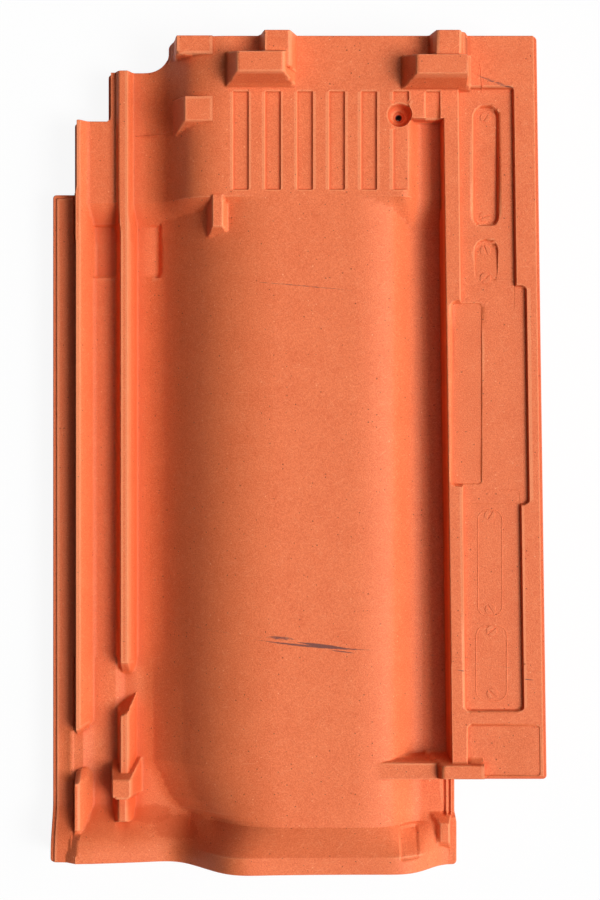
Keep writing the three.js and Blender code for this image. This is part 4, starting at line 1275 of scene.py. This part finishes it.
def clay_material(colours):
    """Fired clay: finely grained, with dark and pale specks, short strokes, paler edges that
    are partly wear and partly a painted highlight, painted shade in creases and in the hollows
    of the cover lock, a nail-hole bore painted black as shade, a few drawn marks and a damp
    stain. Lengths are in millimetres."""
    recipe = Recipe(bpy.data.materials.new(SLOT))
    origin = recipe.add("ShaderNodeTexCoord", output=3)
    place = recipe.add("ShaderNodeVectorMath", {"operation": "SCALE"}, {0: origin, 3: METRE})
    x, y = recipe.split("ShaderNodeSeparateXYZ", (0, 1), {0: place})
    relief, painted_shade = (recipe.add("ShaderNodeAttribute", {"attribute_name": name}, output=2)
                       for name in SHADES)
    dark = (*(c * k for c, k in zip(colours.clay_colour, DARK)), 1)
    pale = (*(min(c * k, 1) for c, k in zip(colours.clay_colour, PALE)), 1)
    fleck, chip_and_highlight, drawn_and_bore_shade = ((*colour, 1) for colour in (
        colours.speck_colour, colours.chip_and_highlight_colour, colours.pencil_and_bore_colour))

    patch = recipe.noise(place, *PATCH_NOISE) - 0.5
    grain = recipe.noise(place, *GRAIN_NOISE) - 0.5
    strokes = None
    for stroke in STROKES:
        line = recipe.noise(recipe.turned(place, *stroke), *LINE_NOISE)
        strokes = line if strokes is None else strokes.more(line)
    scores = recipe.noise(recipe.turned(place, *SCORES), *LINE_NOISE)
    lot, middle = recipe.split("ShaderNodeTexVoronoi", ("Color", "Distance"), {
        "Vector": place, "Scale": SPECKS_PER_MM})
    size, kind = recipe.split("ShaderNodeSeparateColor", (0, 1), {0: lot})
    spot = recipe.step(middle + grain * 0.12 - size * size * 0.17, 0.04, -0.03)
    speck = spot * recipe.step(kind, 0.60, 0.58)
    # paler edges: partly wear, partly a painted highlight
    edge = recipe.step(relief + grain * 0.08, 0.06, 0.22)
    # painted shade in creases, on the outline and on the lock ledge
    painted_crease_shade = recipe.step(relief + grain * 0.10, -0.05, -0.30)
    ragged = patch * 3.2 + grain * 1.8
    stains = [((x - x0) / wide) ** 2 + ((y - y0) / high) ** 2 + ragged
              for (x0, y0), (wide, high) in STAINS]
    streak = recipe.noise(recipe.turned(place, *STREAKS), *STREAK_NOISE)
    pencil = pencil_mask(recipe, x, y) + (streak - 0.5) * 1.4 + grain * 0.5

    # each layer over the ones before it: how much of it shows, and its colour
    colour = recipe.tint(recipe.step(patch * 0.22 + grain * 1.0, -0.42, 0.42), dark, pale)
    for share, tone in (
            (recipe.step(strokes, 0.64, 0.74) * 0.2, chip_and_highlight),
            (recipe.step(scores, 0.69, 0.78) * 0.34, dark),
            (speck * 0.75, fleck),
            (spot * recipe.step(kind, 0.74, 0.76) * 0.7, chip_and_highlight),
            # paler edges: partly wear, partly a painted highlight
            (edge * 0.3, chip_and_highlight),
            # painted crease shade
            (painted_crease_shade * 0.5, dark),
            # painted shade in the hollows of the cover lock
            (painted_shade * 0.9, dark),
            (recipe.step(painted_shade, 1.2, 1.8), drawn_and_bore_shade),      # the nail hole's bore, painted black as shade
            *((recipe.step(stain, 1.15, 0.85) * 0.5, dark) for stain in stains),
            (recipe.step(pencil, 0.26, 0.68) * 0.85, drawn_and_bore_shade)):
        colour = recipe.tint(share, colour, tone)

    bump = recipe.add("ShaderNodeBump", {}, {
        "Height": grain - speck * 0.35, "Distance": colours.grain_depth, "Strength": 0.7})
    shader = recipe.add("ShaderNodeBsdfPrincipled", {}, {
        "Base Color": colour, "Normal": bump, "Specular IOR Level": 0.3,
        "Roughness": colours.roughness + grain * 0.2})
    recipe.add("ShaderNodeOutputMaterial", {}, {"Surface": shader})
    return recipe.owner


UNDER_TILE = (-60, 120, -160, 222)   # left, right, near and far side of the floor's dull part
DULL_MARGIN = 0.024                  # the shine fades out over this many metres around it
WHITE, PAPER = (1, 1, 1, 1), (0.86, 0.86, 0.86, 1)


def paper_material(white):
    """The floor's paper. To the camera, and in reflections, most of it shines evenly white,
    and the rest takes light and shadow. The shine fades out under the tile."""
    recipe = Recipe(bpy.data.materials.new("paper"))
    place = recipe.add("ShaderNodeTexCoord", output=3)
    x, y = recipe.split("ShaderNodeSeparateXYZ", (0, 1), {0: place})
    left, right, near_side, far_side = (side / METRE for side in UNDER_TILE)
    beside = abs(x - (left + right) / 2) - (right - left) / 2
    before = abs(y - (near_side + far_side) / 2) - (far_side - near_side) / 2
    open_floor = recipe.step(beside.more(before), -DULL_MARGIN, 0.0)
    camera, glossy, passing = recipe.split("ShaderNodeLightPath", [
        f"Is {kind} Ray" for kind in ("Camera", "Glossy", "Transmission")])
    share = ((camera + glossy + passing) * white).less(white)
    paper = recipe.add("ShaderNodeBsdfPrincipled", {}, {
        "Base Color": PAPER, "Roughness": 0.9, "Specular IOR Level": 0.1})
    glow = recipe.add("ShaderNodeEmission", {}, {"Color": WHITE, "Strength": 1.0})
    mixed = recipe.add("ShaderNodeMixShader", {}, {0: share * open_floor, 1: paper, 2: glow})
    recipe.add("ShaderNodeOutputMaterial", {}, {"Surface": mixed})
    return recipe.owner


# ---- stage -------------------------------------------------------------------------------------
def toward(elevation, azimuth):
    """The unit vector at an elevation above the floor and an azimuth from the x axis."""
    return np.array([np.cos(elevation) * np.cos(azimuth), np.cos(elevation) * np.sin(azimuth),
                     np.sin(elevation)])


CAMERA_PLACE = (0.0024, 0.00205, 1.0)
IMAGE_HEIGHT, FOCAL_PIXELS, SENSOR = 900, 1708, 36
# Wide lights: share of the soft light, elevation, azimuth and spread in degrees.
SOFT_LAMPS = ((0.6, 25, 12, 60), (0.4, 75, 0, 45))


def make_camera():
    """A camera straight above the tile. Its lens is the focal length in pixels, turned into
    the sensor's millimetres."""
    camera = bpy.data.cameras.new("camera")
    camera.sensor_fit = "VERTICAL"
    camera.sensor_height = SENSOR
    camera.lens = SENSOR * FOCAL_PIXELS / IMAGE_HEIGHT
    camera.clip_end = 20
    holder = fresh_object("camera", camera)
    holder.location = CAMERA_PLACE
    bpy.context.scene.camera = holder


def make_lamp(name, elevation, azimuth, spread, level):
    """A sun. Its strength is such that a level surface gets this share of full light."""
    lamp = bpy.data.lights.new(name, "SUN")
    lamp.angle = spread
    lamp.energy = np.pi * level / np.sin(elevation)
    holder = fresh_object(name, lamp)
    holder.rotation_euler = Vector(toward(elevation, azimuth)).to_track_quat("Z", "Y").to_euler()


def make_world(level):
    """Even light from all sides, and plain white where the camera looks past the floor."""
    recipe = Recipe(bpy.data.worlds.new("studio"))
    bpy.context.scene.world = recipe.owner
    even, white = (recipe.add("ShaderNodeBackground", {}, {0: WHITE, 1: strength})
                   for strength in (level, 1.0))
    seen, = recipe.split("ShaderNodeLightPath", ("Is Camera Ray",))
    mixed = recipe.add("ShaderNodeMixShader", {}, {0: seen, 1: even, 2: white})
    recipe.add("ShaderNodeOutputWorld", {}, {"Surface": mixed})


FLOOR_HALF = 2.5                  # half of the floor's side, in metres


def make_floor(white):
    """The paper under the tile."""
    mesh = bpy.data.meshes.new("floor")
    mesh.from_pydata([(FLOOR_HALF * x, FLOOR_HALF * y, 0)
                      for x, y in ((-1, -1), (1, -1), (1, 1), (-1, 1))], [], [(0, 1, 2, 3)])
    mesh.materials.append(paper_material(white))
    fresh_object("floor", mesh)


# ---- add-on ------------------------------------------------------------------------------------
class RoofTileSizes(bpy.types.PropertyGroup):
    edge_round: FloatProperty(
        name="Edge rounding", description="Radius of the rounding along the outline",
        default=0.0007, min=0.0001, max=0.002, unit="LENGTH", precision=4)
    ledge_drop: FloatProperty(
        name="Ledge drop", description="Depth of the low ledge along the side edges",
        default=0.001, min=0, max=0.002, unit="LENGTH", precision=4)
    flute_depth: FloatProperty(
        name="Flute depth", description="Depth of the flutes in the batten seat",
        default=0.0014, min=0, max=0.003, unit="LENGTH", precision=4)
    panel_depth: FloatProperty(
        name="Panel depth", description="Depth of the long panels in the water-lock strip",
        default=0.0027, min=0, max=0.004, unit="LENGTH", precision=4)
    mark_height: FloatProperty(
        name="Mark height", description="Height of the screw discs and outlines of the die",
        default=0.00028, min=0.0001, max=0.001, unit="LENGTH", precision=5)


class RoofTileClay(bpy.types.PropertyGroup):
    clay_colour: FloatVectorProperty(
        name="Clay", description="Mean colour of the fired clay", subtype="COLOR",
        default=(0.885, 0.174, 0.057), min=0, max=1)
    speck_colour: FloatVectorProperty(
        name="Specks", description="Colour of the dark specks", subtype="COLOR",
        default=(0.20, 0.035, 0.012), min=0, max=1)
    # The paler edges that take this colour are partly wear and partly a painted highlight.
    chip_and_highlight_colour: FloatVectorProperty(
        name="Chips", description="Colour of pale chips, strokes and worn edges",
        subtype="COLOR", default=(0.98, 0.40, 0.19), min=0, max=1)
    # This colour also paints the nail hole's bore black as shade.
    pencil_and_bore_colour: FloatVectorProperty(
        name="Drawn marks", description="Colour of the drawn marks", subtype="COLOR",
        default=(0.10, 0.045, 0.045), min=0, max=1)
    roughness: FloatProperty(
        name="Roughness", description="Roughness of the clay", default=0.56, min=0, max=1,
        subtype="FACTOR")
    grain_depth: FloatProperty(
        name="Grain depth", description="Depth of the clay's grain", default=0.00032, min=0,
        max=0.001, unit="LENGTH", precision=5)


class RoofTileStage(bpy.types.PropertyGroup):
    key_level: FloatProperty(
        name="Key light", description="Share of full light that the key gives a level surface",
        default=0.66, min=0, max=2, subtype="FACTOR")
    key_elevation: FloatProperty(
        name="Key elevation", description="Height of the key light over the floor",
        default=np.radians(49), min=0.1, max=np.pi / 2, subtype="ANGLE", unit="ROTATION")
    key_azimuth: FloatProperty(
        name="Key direction", description="Direction of the key light, from the x axis",
        default=np.radians(-21), min=-np.pi, max=np.pi, subtype="ANGLE", unit="ROTATION")
    key_spread: FloatProperty(
        name="Key spread", description="How wide the key light looks from the tile",
        default=np.radians(28), min=0, max=np.pi, subtype="ANGLE", unit="ROTATION")
    soft_level: FloatProperty(
        name="Soft light", description="Share of full light from the wide low and high lights",
        default=0.37, min=0, max=2, subtype="FACTOR")
    fill_level: FloatProperty(
        name="Fill light", description="Even light from all sides", default=0.005, min=0, max=1,
        subtype="FACTOR")
    paper_white: FloatProperty(
        name="Paper", description="Share of the floor that looks plain white to the camera",
        default=0.92, min=0, max=1, subtype="FACTOR")


class ROOFTILE_OT_body(bpy.types.Operator):
    """Build the clay body of the tile"""
    bl_idname = "rooftile.body"
    bl_label = "Tile Body"

    def execute(self, context):
        clay = clay_material(context.scene.roof_tile_clay)
        tile = mesh_object("tile_body", *tile_body(context.scene.roof_tile_sizes), clay)
        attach(tile, "root")
        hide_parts(NODE)
        return {"FINISHED"}


class ROOFTILE_OT_die_marks(bpy.types.Operator):
    """Build the marks that the pressing die leaves on the strip"""
    bl_idname = "rooftile.die_marks"
    bl_label = "Die Marks"

    def execute(self, context):
        clay = clay_material(context.scene.roof_tile_clay)
        marks = mesh_object("die_marks", *die_marks(context.scene.roof_tile_sizes), clay)
        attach(marks, "root")
        return {"FINISHED"}


class ROOFTILE_OT_stage(bpy.types.Operator):
    """Set up the camera, the lights and the paper floor"""
    bl_idname = "rooftile.stage"
    bl_label = "Stage"

    def execute(self, context):
        stage = context.scene.roof_tile_stage
        make_camera()
        make_lamp("key", stage.key_elevation, stage.key_azimuth, stage.key_spread,
                  stage.key_level)
        for n, (share, *aim) in enumerate(SOFT_LAMPS):
            make_lamp(f"soft_{n}", *np.radians(aim), share * stage.soft_level)
        make_world(stage.fill_level)
        make_floor(stage.paper_white)
        context.scene.view_settings.view_transform = "Standard"
        return {"FINISHED"}


class ROOFTILE_PT_panel(bpy.types.Panel):
    """Settings and operators of the roof tile"""
    bl_label = "Clay Roof Tile"
    bl_idname = "ROOFTILE_PT_panel"
    bl_space_type = "VIEW_3D"
    bl_region_type = "UI"
    bl_category = "Roof Tile"

    def draw(self, context):
        for group in GROUPS:
            settings = getattr(context.scene, group)
            box = self.layout.box()
            for name in settings.__annotations__:
                box.prop(settings, name)
        for operator in OPERATORS:
            self.layout.operator(operator.bl_idname)


GROUPS = {"roof_tile_sizes": RoofTileSizes, "roof_tile_clay": RoofTileClay,
          "roof_tile_stage": RoofTileStage}
OPERATORS = (ROOFTILE_OT_body, ROOFTILE_OT_die_marks, ROOFTILE_OT_stage)


def register():
    """Adds the classes of the add-on, and its settings to the scene."""
    for kind in (*GROUPS.values(), *OPERATORS, ROOFTILE_PT_panel):
        bpy.utils.register_class(kind)
    for name, group in GROUPS.items():
        setattr(bpy.types.Scene, name, PointerProperty(type=group))


def unregister():
    """Takes away what register adds."""
    for name in GROUPS:
        delattr(bpy.types.Scene, name)
    for kind in (ROOFTILE_PT_panel, *OPERATORS, *GROUPS.values()):
        bpy.utils.unregister_class(kind)


def main():
    """Builds the scene with the operators."""
    register()
    bpy.ops.rooftile.body()
    bpy.ops.rooftile.die_marks()
    bpy.ops.rooftile.stage()


if __name__ == "__main__":
    main()
